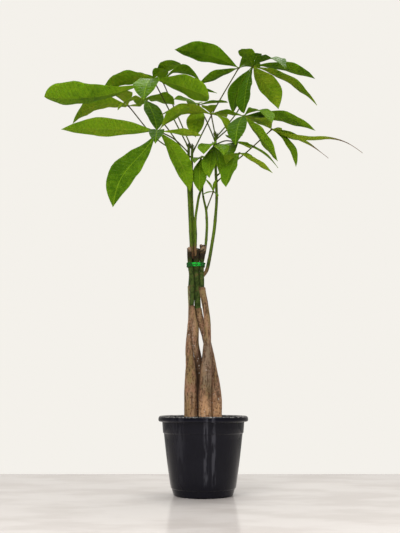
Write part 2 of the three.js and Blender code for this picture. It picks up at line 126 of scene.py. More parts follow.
# Green stems with their cut stubs, and the side shoots that grow from them: the length of the bud at
# the tip, which a cut end doesn't have, and the rows of its path, as for a trunk
STEMS = {
    "back": [
        (0, [(-26.4, -10, 412, 5), (-25.4, -9, 440, 5), (-25, -8.5, 464, 5), (-27, -7.5, 488, 5.3),
             (-29.6, -7, 506, 5.9), (-31.2, -7, 530, 5.5), (-32, -6.5, 552, 4.9)]),
        (12, [(-30, -5, 520, 3.5), (-27.5, -4, 548, 3.8), (-29, -4, 583, 3.9), (-30.5, -4, 619, 3.9),
             (-32, -4, 656, 3.8), (-34, -4, 693, 3.7), (-35, -4, 742, 3.4), (-34, -4, 800, 3)])],
    "right": [
        (0, [(-12.2, -0.5, 409, 7.4), (-13.6, 0, 440, 7.3), (-14.2, 1, 466, 7), (-15.6, 1.5, 506, 7.2),
             (-14.4, 1, 530, 6.8), (-13, 0.5, 549, 5.9)]),
        (7, [(-15.5, -1, 528, 2.9), (-18, -4, 548, 3.1), (-17, -5, 583, 3.1), (-18, -6, 619, 3),
             (-14, -6, 651, 2.9), (-10, -6, 675, 2.8), (-5, -6, 693, 2.6), (-1, -7, 722, 2.3),
             (1, -8, 757, 2)])],
    "front": [
        (0, [(-2.3, -3.5, 454, 5.4), (-2.8, -3.5, 485, 5.2), (-3.2, -3.5, 506, 4.8),
             (-3, -3.5, 519, 4.9), (-1.6, -3.5, 535, 6.2), (0, -4, 557, 7.9)]),
        (7, [(3, -3, 538, 3), (6, -3, 560, 3.1), (8, -3, 584, 3.1), (9, -3, 605, 3),
             (8.5, -2, 625, 2.9), (7, 0, 646, 2.8), (1.5, 5, 673, 2.3), (-1, 9, 693, 2), (0, 12, 722, 1.8)]),
        (12, [(0, -3, 486, 3.6), (8, -3, 499, 4.2), (15, -3, 529, 3.9), (21, -3, 564, 3.9),
             (26, -3, 596, 3.8), (29.5, -3, 632, 3.6), (32, -3, 668, 3.4), (31.5, -3, 705, 3.3),
             (30, -3, 755, 3.2), (30, -3, 792, 3.1), (30, -3, 828, 2.8)])],
    "left": [
        (0, [(-30, 9, 462, 5), (-28, 9.5, 490, 4.9), (-26, 9.5, 515, 4.9), (-23, 9.5, 540, 4.6),
             (-22, 9.5, 549, 4.2)]),
        (12, [(-24.5, 8, 528, 3.2), (-22.5, 5, 549, 3.3), (-23, 4.5, 585, 3.4), (-24, 4.5, 622, 3.4),
             (-26, 4.5, 658, 3.4), (-27, 4.5, 695, 3.3), (-27, 4.5, 745, 3.2), (-26, 4.5, 800, 2.9)])],
}

# The four stems that the tie goes round: right, back, radius
TIED = [(-29.9, -7, 6.2), (-16, 1.5, 7.4), (-3.2, -3.5, 5.2), (-26.5, 9.5, 5)]

# Leaves: where the stalk leaves its shoot, the knot at its end, how it bows, the leaf's tone and its
# leaflets. A leaflet's row has PLAIN_ROW numbers: right, back, up, width, arch and twist. Then come, where
# it isn't as the other leaflets, how its tone differs and its shaping: how its base and tip taper, how its
# halves fold, how its rib sways and how glossy it is. tone runs from deep green, -1, to yellow green, 1
# The tones also hold painted light and shade: besides a leaf's own colour, some leaflets are made paler where
# they lie in shade and deeper where they catch light
PLAIN_ROW = 6
ROUND_TIP = {"base": 2, "tip": 0.6, "fold": 0.42}
BLUNT_TIP = {"base": 1.5, "tip": 0.65}
LEAVES = {
    "low_left": ((-34, -4, 785), (-102, -90, 806), (0, 0, 8), 0.15, [
        (-219, -10, 0, 56, 3, 26, -0.1), (-93, -50, -193, 62, 13, -55, -0.9, dict(base=1.8, sway=6)),
        (0, -95, -66, 34, 12, 0, -1.5), (72, 40, -131, 44, 14, -35, -0.3),
        (98, -30, -22, 30, 0, -10, 0.1, dict(base=2)), (72, -60, 32, 40, 8, 0, 0, dict(base=2))]),
    "far_left": ((-26, 4.5, 776), (-185, 30, 920), (0, 0, -26), 0.45, [
        (-128, -40, -64, 54, 25, 20), (-77, 40, 62, 50, 6, 0), (-143, 10, 12, 50, 12, 0),
        (-59, 60, 22, 42, 0, 0), (-12, -90, -4, 44, 8, 0, 0.7), (25, 60, 24, 36, 0, 0, 0.5)]),
    "inner_left": ((-34.5, -4, 770), (-142, -30, 911), (0, 0, 6), -0.4, [
        (34, -25, -90, 49, 8, 22, -0.2), (-56, -40, -46, 42, 8, 0, 1.1), (-18, 72, 12, 38, 6, 0),
        (72, 52, 8, 60, 6, 0)]),
    "high_left": ((-34, -4, 797), (-115, -100, 928), (0, 0, 0), -0.1, [
        (-243, -20, -52, 57, -20, 20, 0.1, ROUND_TIP), (-124, 50, -4, 52, 12, 8, 0.2, dict(base=1)),
        (-14, -80, -88, 58, 14, 0, -0.4), (59, -80, 1, 38, 4, 0, -0.3, dict(base=1.7, tip=0.7)),
        (28, -58, -4, 28, 4, 0, -0.3), (128, -50, -67, 60, 4, -31, 0, BLUNT_TIP)]),
    "back_left": ((-26, 4.5, 797), (-100, 40, 987), (0, 0, 0), -0.3, [
        (93, 20, 12, 46, 30, 0), (70, -50, -46, 32, 12, 0), (-95, 40, 20, 45, 10, 0),
        (-5, -70, 4, 36, 4, 0), (137, 60, -2, 22, 2, 0)]),
    "middle": ((30, -3, 812), (-11, 20, 918), (0, 0, 4), 0.2, [
        (-7, -20, -92, 47, 4, 0, 0.3), (-59, -40, -4, 36, 4, -40), (75, 60, 32, 28, 2, 6),
        (70, -20, 0, 24, 3, 20), (-20, 90, 35, 40, 6, 0)]),
    "top": ((-26, 4.5, 786), (90, 40, 1025), (-4, 0, 0), -0.6, [
        (-159, -60, 18, 62, 12, 20), (-100, 40, -26, 42, 3, 0), (60, 60, 30, 45, 6, 0),
        (52, -70, 2, 40, 6, 0)]),
    "top_right": ((30, -3, 822), (121, -20, 1000), (14, 8, -10), -0.35, [
        (-32, -85, 0, 38, 6, 0), (68, -80, -47, 54, 21, 12, -1.3, dict(base=1.1)),
        (-49, 4, -119, 46, 12, 34, -1.1, dict(base=2)), (-25, -30, -134, 50, 8, 12, -1.1, dict(tip=0.8)),
        (63, 30, -98, 53, 8, -24, 1, dict(base=1.2, sway=4)), (149, -20, -110, 50, 13, 0, 1.1),
        (160, 60, -4, 46, 12, 0)]),
    "front": ((30, -3, 826), (19, -40, 868), (0, 0, 0), 0.8, [
        (-116, -50, -24, 48, 13, 0, 1), (38, -40, -62, 36, 12, 0, 0.4), (-80, 30, 10, 36, 6, 0),
        (40, 80, 25, 35, 6, 0), (-10, -60, -6, 34, 6, 0)]),
    "right": ((30, -3, 818), (94, -60, 855), (0, 0, 0), 0.2, [
        (163, -20, -44, 50, 12, -8, -0.6), (74, -30, -121, 49, 2, -30), (-22, -55, -92, 47, 12, 0, -1.2),
        (-63, 25, 17, 34, 2, 0), (58, -78, -50, 48, 20, 8, -0.5, dict(shine=0.1)),
        (60, 90, 14, 40, 2, 0, 0.6)]),
    "far_right": ((31, -3, 727), (164, -20, 838), (0, 0, -4), 0.5, [
        (-44, -76, -4, 36, 2, 0), (204, -40, -74, 20, 5, 0, 0.8, dict(base=1, tip=2.4, sway=12)),
        (140, 40, -58, 14, 10, 0, 0.5, dict(base=1, tip=2.4)), (55, 0, -93, 30, 14, 48, -0.2),
        (30, 80, 24, 24, 4, 0)]),
    "low_right": ((31.5, -3, 712), (83, -80, 757), (0, 0, -8), 0.4, [
        (72, -20, -54, 28, 1, -15, 0.4), (-33, -30, -90, 50, 6, 0, -0.6), (-34, 46, -18, 34, 6, 0),
        (36, 80, 10, 18, 4, 0)]),
    "inner_right": ((30, -3, 806), (78, 20, 822), (0, 0, 6), 0.2, [
        (100, -30, -77, 26, 12, 0), (-30, -44, -80, 54, 8, 0, -0.2, dict(base=0.9)),
        (-8, -66, -12, 42, 5, 0), (44, 70, 8, 20, 4, 0)]),
    "low_middle": ((30, -3, 788), (25, -70, 780), (0, 0, 8), 0.2, [
        (-11, -15, -84, 40, 6, 0, -0.1), (12, -10, -74, 36, 6, 0, -0.1), (-24, -50, -40, 44, 10, 0),
        (20, -50, -42, 40, 10, 0)]),
    "inner_low": ((1, -8, 752), (-6, -36, 760), (0, 0, 4), 0.2, [
        (-2, -14, -86, 34, 6, 0, -0.3), (-14, -40, -26, 20, 6, 0), (22, -36, -20, 20, 6, 0)]),
    "young": ((7, -0.5, 643), (24, -20, 684), (0, 0, 0), 0.3, [
        (-19, -10, 28, 9, 2, 0), (-25, 4, -7, 9, 2, 0), (7, -12, 26, 9, 2, 0), (10, -15, -18, 10, 2, 0)]),
}

# How finely the pieces are made: counts, and steps along trunks and stems in millimetres
BLADE_STATIONS = 30
BLADE_STEPS = 5
PETIOLE_RINGS = 22
PETIOLE_SIDES = 12
TRUNK_SIDES = 56
TRUNK_STEP = 2.2
STEM_SIDES = 24
STEM_STEP = 2.6
TIE_PLACES = 240
TIE_STEPS = 90
TIE_SIDES = 14
POT_SIDES = 144
SOIL_RINGS = 44
SOIL_SIDES = 120

# How a leaf differs from a plain sheet, in millimetres and shares of its half width or length
MARGIN_WAVE = 0.07
MARGIN_RIPPLE = 0.012
RIPPLES_PER_WAVE = 3.1
WAVE_COUNT = (2.2, 3.6)
USUAL_LENGTH = 160
RIB_HALF = 0.9
RIB_SHOULDER = 1.9
RIB_HEIGHT = 0.9
RIB_FADE = 0.75
STALK_SHARE = 0.05
VEIN_SPACING = 9.5
LONG_TIP = 2
TONE_SPREAD = 0.18

# The order of a leaf's and a stem's finishes, the marks on every point, and the scale of the surface map
LEAF_TOP, LEAF_UNDER, PETIOLE = 0, 1, 2
STEM, CUT, BUD = 0, 1, 2
MARKS = ("tone", "shine", "margin")
SURFACE_SCALE = 0.01
SURFACE_MM = 1 / SURFACE_SCALE

# Where random draws start
SOIL_SEED, BITS_SEED, TRUNK_SEED, STEM_SEED, LEAF_SEED = 21, 3, 40, 60, 100

# Rings on the trunks and joints on the stems, in millimetres: the first, how far apart they are, how far
# one may stray, and how far it stands out
RING_START, RING_STEP, RING_STRAY, RING_RELIEF = 185, 17, 5, 0.16
JOINT_START, JOINT_STEP, JOINT_STRAY = 24, 52, 8
STUB_JOINT, SHOOT_JOINT = 0.7, 0.4

# Waves in the surfaces of trunks, stubs and shoots: how many, most lobes, shortest length and depth
BARK_WAVES = [(5, 3, 90, 0.3), (8, 9, 40, 0.16), (10, 14, 12, 0.08)]
STUB_WAVES = [(4, 3, 70, 0.22), (6, 7, 24, 0.1)]
SHOOT_WAVES = [(4, 2, 80, 0.1), (5, 6, 30, 0.06)]

# Scars on the trunks: degrees round from the right, height, radius and how far they stand out
SCARS = {
    "left": [(245, 236, 3.0, 0.5), (300, 305, 2.6, 0.4), (200, 372, 2.4, 0.5), (285, 420, 2.6, 0.5)],
    "back": [(280, 352, 2.6, 0.5), (255, 390, 3.0, 0.9), (275, 409, 3.4, 1.0)],
    "front": [(280, 218, 3.2, 0.4), (250, 262, 2.6, 0.4), (300, 330, 2.4, 0.4), (262, 395, 2.8, 0.5)],
    "right": [(285, 205, 3.4, 0.9), (300, 262, 2.6, 0.5), (265, 384, 3.4, 0.9), (272, 402, 3.6, 1.0)],
}

# Camera and floor, in metres and degrees, lens and sensor, in millimetres, and the depths between which
# the light all round grows stronger
CAMERA_PLACE = (-0.00724, -1.6, 0.206)
CAMERA_PITCH = 10.73
CAMERA_LENS = 47.35
SENSOR = 36.0
FLOOR_LEFT, FLOOR_RIGHT, FLOOR_FRONT, FLOOR_BACK = -3.0, 3.0, -3.4, 0.442
DIM_SIDE, BRIGHT_SIDE = -0.75, 0.35

# Windows: place, the height they face, side, and share of the main light's power
WINDOWS = {
    "key_window": ((-1.1, -1.9, 2.3), 0.75, 1.2, 1),
    "fill_window": ((1.9, -1.3, 1.2), 0.5, 1.4, 0.25),
    "top_panel": ((0.2, 0.5, 2.6), 0.8, 1.6, 1.1),
    "front_window": ((-0.3, -2.6, 0.9), 0.5, 1.0, 0.6),
}
WINDOW_COLOUR = (1.0, 0.985, 0.96)


# Curves and rings
def unit(vector):
    return vector / np.linalg.norm(vector, axis=-1, keepdims=True)


def peak(distance, width):
    """A smooth bump: 1 where the distance is 0, and falling off over the width."""
    return np.exp(-(distance / width) ** 2)


def turned(sides):
    return np.arange(sides) * FULL_TURN / sides


def circle(radius, level, angle):
    """A ring of points round the upright axis."""
    return np.stack([radius * np.cos(angle), radius * np.sin(angle), level + 0 * angle], -1)


def spline(places, share):
    """Points of a centripetal Catmull-Rom spline at the given shares of its knots."""
    knots = np.array(places, float)
    ends = np.vstack([2 * knots[0] - knots[1], knots, 2 * knots[-1] - knots[-2]])
    points = []
    for value in np.asarray(share) * (len(knots) - 1):
        first = min(int(value), len(knots) - 2)
        part = value - first
        a, b, c, d = ends[first:first + 4]
        ab, bc, cd = (max(np.linalg.norm(q - p), 1e-6) ** 0.5 for p, q in ((a, b), (b, c), (c, d)))
        leave = ((b - a) / ab - (c - a) / (ab + bc) + (c - b) / bc) * bc
        arrive = ((c - b) / bc - (d - b) / (bc + cd) + (d - c) / cd) * bc
        points.append(b + leave * part + (3 * (c - b) - 2 * leave - arrive) * part ** 2
                      + (2 * (b - c) + leave + arrive) * part ** 3)
    return np.array(points)


def travelled(centres):
    steps = np.linalg.norm(np.diff(centres, axis=0), axis=1)
    return np.concatenate([[0], np.cumsum(steps)])


def along_route(route, count):
    """Evenly shared points and radii along the rows of a trunk or stem, and how far each has run."""
    route = np.array(route, float)
    share = np.linspace(0, 1, count)
    centres = spline(route[:, :3], share)
    return centres, np.interp(share, np.linspace(0, 1, len(route)), route[:, 3]), travelled(centres)


def ripple(rng, angle, height, waves):
    """A smooth random relief round a stem, closed at the seam. waves holds, for each sort of wave,
    how many, the most lobes round the stem, the shortest length along it in mm and its depth."""
    relief = np.zeros(np.broadcast(angle, height).shape)
    for count, lobes, length, depth in waves:
        for _ in range(count):
            round_it = rng.integers(0, lobes + 1)
            along_it = rng.uniform(-1, 1) * FULL_TURN / length
            relief += depth / math.sqrt(count) * np.sin(
                round_it * angle + along_it * height + rng.uniform(0, FULL_TURN))
    return relief


def put(name, held):
    """An object in the scene that holds the given mesh, light or camera."""
    made = bpy.data.objects.new(name, held)
    bpy.context.collection.objects.link(made)
    return made


class Shell:
    """Gathers closed surfaces, in millimetres, and makes one mesh of them."""

    def __init__(self):
        self.points = []
        self.flat = []
        self.marks = {name: [] for name in MARKS}
        self.faces = []
        self.finishes = []
        self.total = 0

    def add(self, points, faces, finish=0, flat=(0, 0), tone=0.0, shine=0.0, margin=0.0):
        points = np.asarray(points, float).reshape(-1, 3)
        self.faces += [tuple(corner + self.total for corner in face) for face in faces]
        self.finishes += np.broadcast_to(finish, len(faces)).tolist()
        self.points.append(points)
        self.flat.append(np.broadcast_to(np.reshape(flat, (-1, 2)), (len(points), 2)))
        for name, value in zip(MARKS, (tone, shine, margin)):
            self.marks[name].append(np.broadcast_to(np.ravel(value), len(points)))
        self.total += len(points)

    def piece(self, name, materials, sharp=40):
        mesh = bpy.data.meshes.new(name)
        mesh.from_pydata((np.vstack(self.points) * MM).tolist(), [], self.faces)
        for material in materials:
            mesh.materials.append(material)
        mesh.polygons.foreach_set("material_index", self.finishes)
        corners = np.empty(len(mesh.loops), np.int32)
        mesh.loops.foreach_get("vertex_index", corners)
        layer = mesh.uv_layers.new(name="surface")
        layer.data.foreach_set("uv", np.vstack(self.flat)[corners].astype(np.float32).ravel())
        for mark, values in self.marks.items():
            layer = mesh.attributes.new(mark, "FLOAT", "POINT")
            layer.data.foreach_set("value", np.concatenate(values).astype(np.float32))
        mesh.shade_smooth()
        mesh.set_sharp_from_angle(angle=math.radians(sharp))
        mesh.update()
        return put(name, mesh)


def loft_faces(rings, sides, cap_low=True):
    """Quads between rings of points that run anticlockwise, seen from the far end, and end caps."""
    faces = []
    for low in range(0, (rings - 1) * sides, sides):
        faces += [(low + side, low + (side + 1) % sides, low + sides + (side + 1) % sides, low + sides + side)
                  for side in range(sides)]
    if cap_low:
        faces.append(tuple(range(sides - 1, -1, -1)))
    faces.append(tuple(range((rings - 1) * sides, rings * sides)))
    return faces


def rings_round(centres, radii, sides, reference=RIGHT, relief=0):
    """Rings of points round a path, the first of each on the reference's side."""
    along = unit(np.gradient(centres, axis=0))
    across = unit(reference - along * (along @ reference)[:, None])
    outward = np.cross(along, across)
    angle = turned(sides)
    reach = np.asarray(radii, float)[:, None] * np.ones(sides) + relief
    return (centres[:, None]
            + across[:, None] * (np.cos(angle) * reach)[..., None]
            + outward[:, None] * (np.sin(angle) * reach)[..., None])


def unrolled(round_it, run):
    """Where each point of a tube lies on its skin laid flat."""
    return np.stack(np.broadcast_arrays(round_it, run[:, None] * SURFACE_SCALE), -1)


def add_tube(shell, centres, radii, sides, finish, tone=1.0, reference=RIGHT):
    rings = rings_round(centres, radii, sides, reference)
    shell.add(rings, loft_faces(len(centres), sides), finish,
              unrolled(np.arange(sides) / sides, travelled(centres)),
              np.repeat(tone, sides) if np.size(tone) > 1 else tone)


def add_ball(shell, centre, radius, squash, finish, rows=8, sides=12):
    rings = np.stack([circle(np.sin(turn), -np.cos(turn), turned(sides))
                      for turn in np.linspace(0.02, math.pi - 0.02, rows)])
    shell.add(rings * radius * np.array(squash) + centre, loft_faces(rows, sides), finish, tone=1.0)


# Leaves
def leaf_stations(count):
    """Shares along a blade, closer together near the knot and the drip tip."""
    even = np.linspace(0, 1, count)
    return even - 0.09 * np.sin(FULL_TURN * even)


def leaf_columns(half):
    """Shares across a blade: the rib's own width in mm first, then even steps out to the margin."""
    rib = np.minimum(RIB_HALF / half, 0.3)
    shoulder = np.minimum(RIB_SHOULDER / half, 0.55)
    outer = [shoulder + (1 - shoulder) * step / BLADE_STEPS for step in range(1, BLADE_STEPS + 1)]
    right = np.stack([rib, shoulder, *outer], -1)
    return np.concatenate([-right[:, ::-1], np.zeros((len(half), 1)), right], 1)


def add_leaflet(shell, rng, knot, sizes, tone,
                base=BASE_TAPER, tip=TIP_TAPER, fold=BLADE_FOLD, sway=0, shine=0):
    """One leaflet, as the solid has it, with a rounded fold, a wavy margin, a rib and a drip tip."""
    right, back, up, width, arch, twist = sizes
    chord = np.array([right, back, up], float)
    across = unit(np.cross(chord, UP))
    lift = unit(np.cross(across, chord))
    bend = knot + 0.5 * chord + 2 * arch * lift

    def rib(share):
        s = np.asarray(share)[:, None]
        return ((1 - s) ** 2 * knot + 2 * (1 - s) * s * bend + s ** 2 * (knot + chord)
                - sway * np.sin(FULL_TURN * s) * lift)

    t = leaf_stations(BLADE_STATIONS)
    along = unit(rib(np.minimum(t + 0.01, 1)) - rib(np.maximum(t - 0.01, 0)))
    level_side = unit(np.cross(along, lift))
    turn = math.radians(twist)
    side = level_side * math.cos(turn) + np.cross(along, level_side) * math.sin(turn)
    face = np.cross(side, along)[:, None]
    shape = (t / WIDEST_AT) ** base * ((1 - t) / (1 - WIDEST_AT)) ** tip
    narrow = np.where(t < 0.5, STALK_WIDTH, TIP_WIDTH * (1.6 - t))
    half = (np.maximum(narrow, width * shape) / 2)[:, None]
    u = leaf_columns(half[:, 0])
    t = t[:, None]
    length = np.linalg.norm(chord)
    reach = np.abs(u)
    left_phase, right_phase = rng.uniform(0, FULL_TURN, 2)
    waves = rng.uniform(*WAVE_COUNT) * (length / USUAL_LENGTH) ** 0.5
    phase = np.where(u < 0, left_phase, right_phase)
    wave = np.sin(FULL_TURN * waves * t + phase) * half * MARGIN_WAVE * reach ** 2.2
    small_wave = (np.sin(FULL_TURN * RIPPLES_PER_WAVE * waves * t + 2 * phase)
                  * half * MARGIN_RIPPLE * reach ** 3)
    raised = fold * half * (1.18 * reach ** 1.35 - 0.18 * reach ** 3.2) + wave + small_wave
    middle = rib(t[:, 0])[:, None] + side[:, None] * (u * half)[..., None] + face * raised[..., None]

    stalk = np.clip(1 - t / STALK_SHARE, 0, 1)
    thick = BLADE_THICKNESS * (1 - 0.5 * reach ** 4) + (STALK_THICKNESS - BLADE_THICKNESS) * stalk
    ridge = RIB_HEIGHT * (1 - RIB_FADE * t) * peak(u * half, 1.0) * (1 - stalk)
    top = middle + face * (thick / 2 + 0.22 * ridge)[..., None]
    under = middle - face * (thick / 2 + ridge)[..., None]

    dry = np.clip((t - 0.5) / 0.3, 0, 1) if tip > LONG_TIP else 0 * t
    gloss = np.broadcast_to(shine - dry, u.shape)
    flat = np.stack([u * half, np.broadcast_to(t * length, u.shape)], -1) * SURFACE_SCALE
    index = np.arange(u.size).reshape(u.shape)
    quads = np.stack([index[:-1, :-1], index[:-1, 1:], index[1:, 1:], index[1:, :-1]], -1).reshape(-1, 4)
    rim = [*index[0, :], *index[1:, -1], *index[-1, -2::-1], *index[-2:0:-1, 0]]
    edge = [(p + u.size, q + u.size, q, p) for p, q in zip(rim, rim[1:] + rim[:1])]
    shell.add([top, under], [*quads, *(quads[:, ::-1] + u.size), *edge],
              [LEAF_TOP] * len(quads) + [LEAF_UNDER] * (len(quads) + len(edge)), [flat, flat], tone,
              [gloss, gloss], [reach, reach])


def add_petiole(shell, root, knot, bow):
    """The stalk from the shoot to the knot: swollen where it leaves the shoot and below the knot."""
    share = np.linspace(0, 1, PETIOLE_RINGS)
    centres = spline([root, (root + knot) / 2 + bow, knot], share)
    run = travelled(centres)
    swell = 0.9 * peak(run, 7) + 0.55 * peak(run[-1] - run, 6)
    add_tube(shell, centres, PETIOLE_RADIUS * (1.1 - 0.12 * share) + swell, PETIOLE_SIDES, PETIOLE, share,
             unit(np.cross(knot - root, UP)))
    along = unit(centres[-1] - centres[-3])
    add_ball(shell, knot - along * 0.5, KNOT_RADIUS * 1.05, (1, 1, 0.8), PETIOLE)


# Shader maths
def maths(operation, swapped=False):
    """An operator that adds a Math node."""
    def work(first, *second):
        values = (first, *second)[::-1 if swapped else 1]
        return first.nodes.make("ShaderNodeMath", {"operation": operation}, dict(enumerate(values)))
    return work


class Wire:
    """A socket that can be used in sums."""

    def __init__(self, nodes, socket):
        self.nodes = nodes
        self.socket = socket

    def also(self, output):
        """Another output of the same node."""
        return Wire(self.nodes, self.socket.node.outputs[output])

    __add__ = __radd__ = maths("ADD")
    __sub__ = maths("SUBTRACT")
    __rsub__ = maths("SUBTRACT", swapped=True)
    __mul__ = __rmul__ = maths("MULTIPLY")
    __pow__ = maths("POWER")
    __abs__ = maths("ABSOLUTE")
    sine = maths("SINE")


class Nodes:
    """The nodes of a material, of the light all round or of what is strewn."""

    def __init__(self, tree):
        self.tree = tree

    def make(self, kind, settings=None, sockets=None, output=0):
        """Any node: its settings first, then the values or wires of its sockets."""
        node = self.tree.nodes.new(kind)
        for name, value in (settings or {}).items():
            if name == "stops":
                ramp = node.color_ramp
                while len(ramp.elements) < len(value):
                    ramp.elements.new(0.5)
                for element, (place, colour) in zip(ramp.elements, value):
                    element.position = place
                    element.color = (*colour, 1)
            else:
                setattr(node, name, value)
        for name, value in (sockets or {}).items():
            self.join(value, node.inputs[name])
        return Wire(self, node.outputs[output])

    def join(self, value, socket):
        if isinstance(value, Wire):
            self.tree.links.new(value.socket, socket)
        elif socket.type == "RGBA":
            socket.default_value = (*value, 1)
        else:
            socket.default_value = value

    def band(self, value, low, high, start=0.0, end=1.0):
        """value between low and high, eased, as a share from start to end."""
        return self.make("ShaderNodeMapRange", {"interpolation_type": "SMOOTHSTEP"}, {
            "Value": value, "From Min": low, "From Max": high, "To Min": start, "To Max": end})

    def parts(self, where, part=0):
        """One coordinate of a place. also() gives the other two."""
        return self.make("ShaderNodeSeparateXYZ", None, {0: where}, part)


class Paint(Nodes):
    """A material, and the nodes that colour it."""

    def __init__(self, name):
        self.material = bpy.data.materials.new(name)
        self.material.use_nodes = True
        super().__init__(self.material.node_tree)
        self.where = self.make("ShaderNodeTexCoord", output="Object")

    def place(self, stretch):
        """Object coordinates, scaled along each axis where a stretch is given."""
        if stretch is None:
            return self.where
        return self.make("ShaderNodeMapping", None, {"Vector": self.where, "Scale": stretch})

    def surface(self):
        return self.make("ShaderNodeUVMap", {"uv_map": "surface"})

    def noise(self, scale, detail, rough=0.55, stretch=None, where=None):
        return self.make("ShaderNodeTexNoise", None, {
            "Vector": where or self.place(stretch), "Scale": scale, "Detail": detail, "Roughness": rough})

    def cells(self, scale, feature="F1", stretch=None, where=None):
        return self.make("ShaderNodeTexVoronoi", {"feature": feature}, {
            "Vector": where or self.place(stretch), "Scale": scale})

    def mark(self, name):
        return self.make("ShaderNodeAttribute", {"attribute_name": name}, output="Fac")

    def coats(self, base, *coats):
        """A colour under further ones, each laid on by the share before it."""
        for share, colour in coats:
            base = self.make("ShaderNodeMix", {"data_type": "RGBA"}, {0: share, 6: base, 7: colour}, 2)
        return base

    def done(self, base, rough, gloss=0.5, relief=None, **others):
        """Sets the shader's sockets. relief is a height, how far it stands out in metres and how strongly.
        Any other socket's name is written with _ for each space."""
        sockets = {"Base Color": base, "Roughness": rough, "Specular IOR Level": gloss}
        if relief:
            sockets["Normal"] = self.make(
                "ShaderNodeBump", None, dict(zip(("Height", "Distance", "Strength"), relief)))
        sockets.update({name.replace("_", " "): value for name, value in others.items()})
        for name, value in sockets.items():
            self.join(value, self.tree.nodes["Principled BSDF"].inputs[name])
        return self.material


def shades(colour, *each):
    """Colours made from one: each is a share of it, or of its red, green and blue."""
    return [tuple(np.multiply(colour, one).tolist()) for one in each]


def pot_finish(colour):
    """Near-black glossy plastic, with pale upright streaks down the front that are partly scuffs and partly
    painted highlights, and a few pale specks along the top of the rim.
    """
    paint = Paint("pot_plastic")
    band = paint.band
    side = paint.parts(paint.where)
    height = side.also("Z")
    smudge = paint.noise(24, 4)
    tall = paint.noise(150, 4, stretch=(1, 1, 0.1))
    # Pale specks along the top of the rim
    rim_specks = paint.noise(330, 2)
    dull, bright = shades(colour, 0.7, 1.3)
    # Pale upright streaks down the front: partly scuffs and partly painted highlights
    scuffs_and_highlights = (band(abs(side - 0.005), 0.007, 0.002) + band(abs(side - 0.0215), 0.006, 0.002)
               + band(abs(side + 0.055), 0.02, 0.004, 0, 0.4))
    front = band(side.also("Y"), -0.05, -0.07) * band(height, 0.02, 0.04)
    base = paint.coats(
        dull,
        (smudge, bright),
        (scuffs_and_highlights * front * band(tall, 0.42, 0.6, 0, 0.5), (0.07, 0.07, 0.085)),
        (band(height, 0.1665, 0.169) * band(rim_specks, 0.52, 0.58, 0, 0.85), (0.4, 0.39, 0.37)))
    rough = band(smudge * 0.5 + tall * 0.5, 0.35, 0.65, 0.12, 0.26)
    return paint.done(base, rough, 0.14, (tall, 0.00012, 0.35))


def bark_finish(colour):
    """Smooth young bark: tan and freckled near the soil, brown with grey streaks above, and dark in
    the scars. Painted shade darkens it between the trunks low down, and a painted grey highlight lies on the
    front of the front trunk."""
    paint = Paint("bark")
    band, noise = paint.band, paint.noise
    side = paint.parts(paint.where)
    depth, height = side.also("Y"), side.also("Z")
    patch = noise(55, 5, 0.65)
    cloud = noise(48, 3, stretch=(1, 1, 0.3))
    grain = noise(330, 4, 0.7, (1, 1, 0.5))
    streak = noise(210, 4, 0.6, (1, 1, 0.12))
    ring = noise(210, 3, stretch=(0.12, 0.12, 1))
    speck = paint.cells(170)
    freckle = paint.cells(140, stretch=(1, 1, 1.2))
    scar = paint.mark("tone")
    pink, tan, dark, olive, grey, red = shades(
        colour, (1.0, 0.83, 0.83), (2.0, 1.8, 1.6), (0.24, 0.2, 0.18), (0.7, 0.78, 0.54),
        (0.66, 0.8, 0.96), (0.5, 0.28, 0.2))
    low = 1 - band(height + patch * 0.04, 0.2, 0.25)
    # The face of the front trunk that looks to the front, where a painted grey highlight goes
    middle = band(abs(side - 0.007), 0.013, 0.005) * band(depth, 0, -0.012)
    from_middle = (side * side + depth * depth) ** 0.5
    base = paint.coats(
        pink,
        (band(patch, 0.42, 0.62), colour),
        (band(cloud, 0.5, 0.62, 0, 0.8), olive),
        (band(cloud * 0.5 + streak * 0.5, 0.48, 0.4, 0, 0.6) * (1 - low), grey),
        (low * band(patch, 0.35, 0.55, 0.4, 1) * band(side, -0.014, -0.006, 0.3, 1), tan),
        # Painted grey highlight on the front of the front trunk, about 0.285 m up
        (middle * band(abs(height - 0.285), 0.07, 0.035, 0, 0.7), grey),
        (band(height + patch * 0.06, 0.42, 0.48) * 0.6, olive),
        (band(height + patch * 0.03, 0.42, 0.45) * band(side, -0.024, -0.029, 0, 0.8), (0.19, 0.22, 0.1)),
        (band(streak * 0.5 + grain * 0.5, 0.52, 0.43, 0, 0.95) * (1 - low * 0.4), dark),
        (band(freckle, 0.32, 0.2, 0, 0.9) * band(patch + low * 0.14, 0.43, 0.54), red),
        # Painted shade between the trunks: darker within about 2 cm of the middle, below 0.28 to 0.38 m
        (band(from_middle, 0.024, 0.012) * band(height, 0.38, 0.28, 0, 0.95), dark),
        (scar * band(grain, 0.45, 0.55, 0.2, 0.8), dark),
        (scar * band(patch, 0.46, 0.54, 0, 0.3), tan),
        (paint.mark("shine") * 0.9, dark),
        (band(speck, 0.26, 0.16, 0, 0.6) * band(cloud - low * 0.06, 0.5, 0.44), (0.6, 0.56, 0.5)))
    relief = streak * 0.5 + grain * 0.4 + ring * 0.3 + patch * 0.5 - band(freckle, 0.26, 0.14, 0, 0.25)
    return paint.done(base, band(patch, 0.3, 0.7, 0.55, 0.8), 0.3, (relief, 0.002, 0.9))


def crumb_finish(name, stops, depth=0.0016, rough=0.95, gloss=0.25, grain=(340, 5, 0.7)):
    """Dull and crumbly stuff: stops are its colours from dark to light."""
    paint = Paint(name)
    grain = paint.noise(*grain)
    base = paint.make("ShaderNodeValToRGB", {"stops": stops}, {"Fac": grain})
    return paint.done(base, rough, gloss, (grain, depth, 0.9))


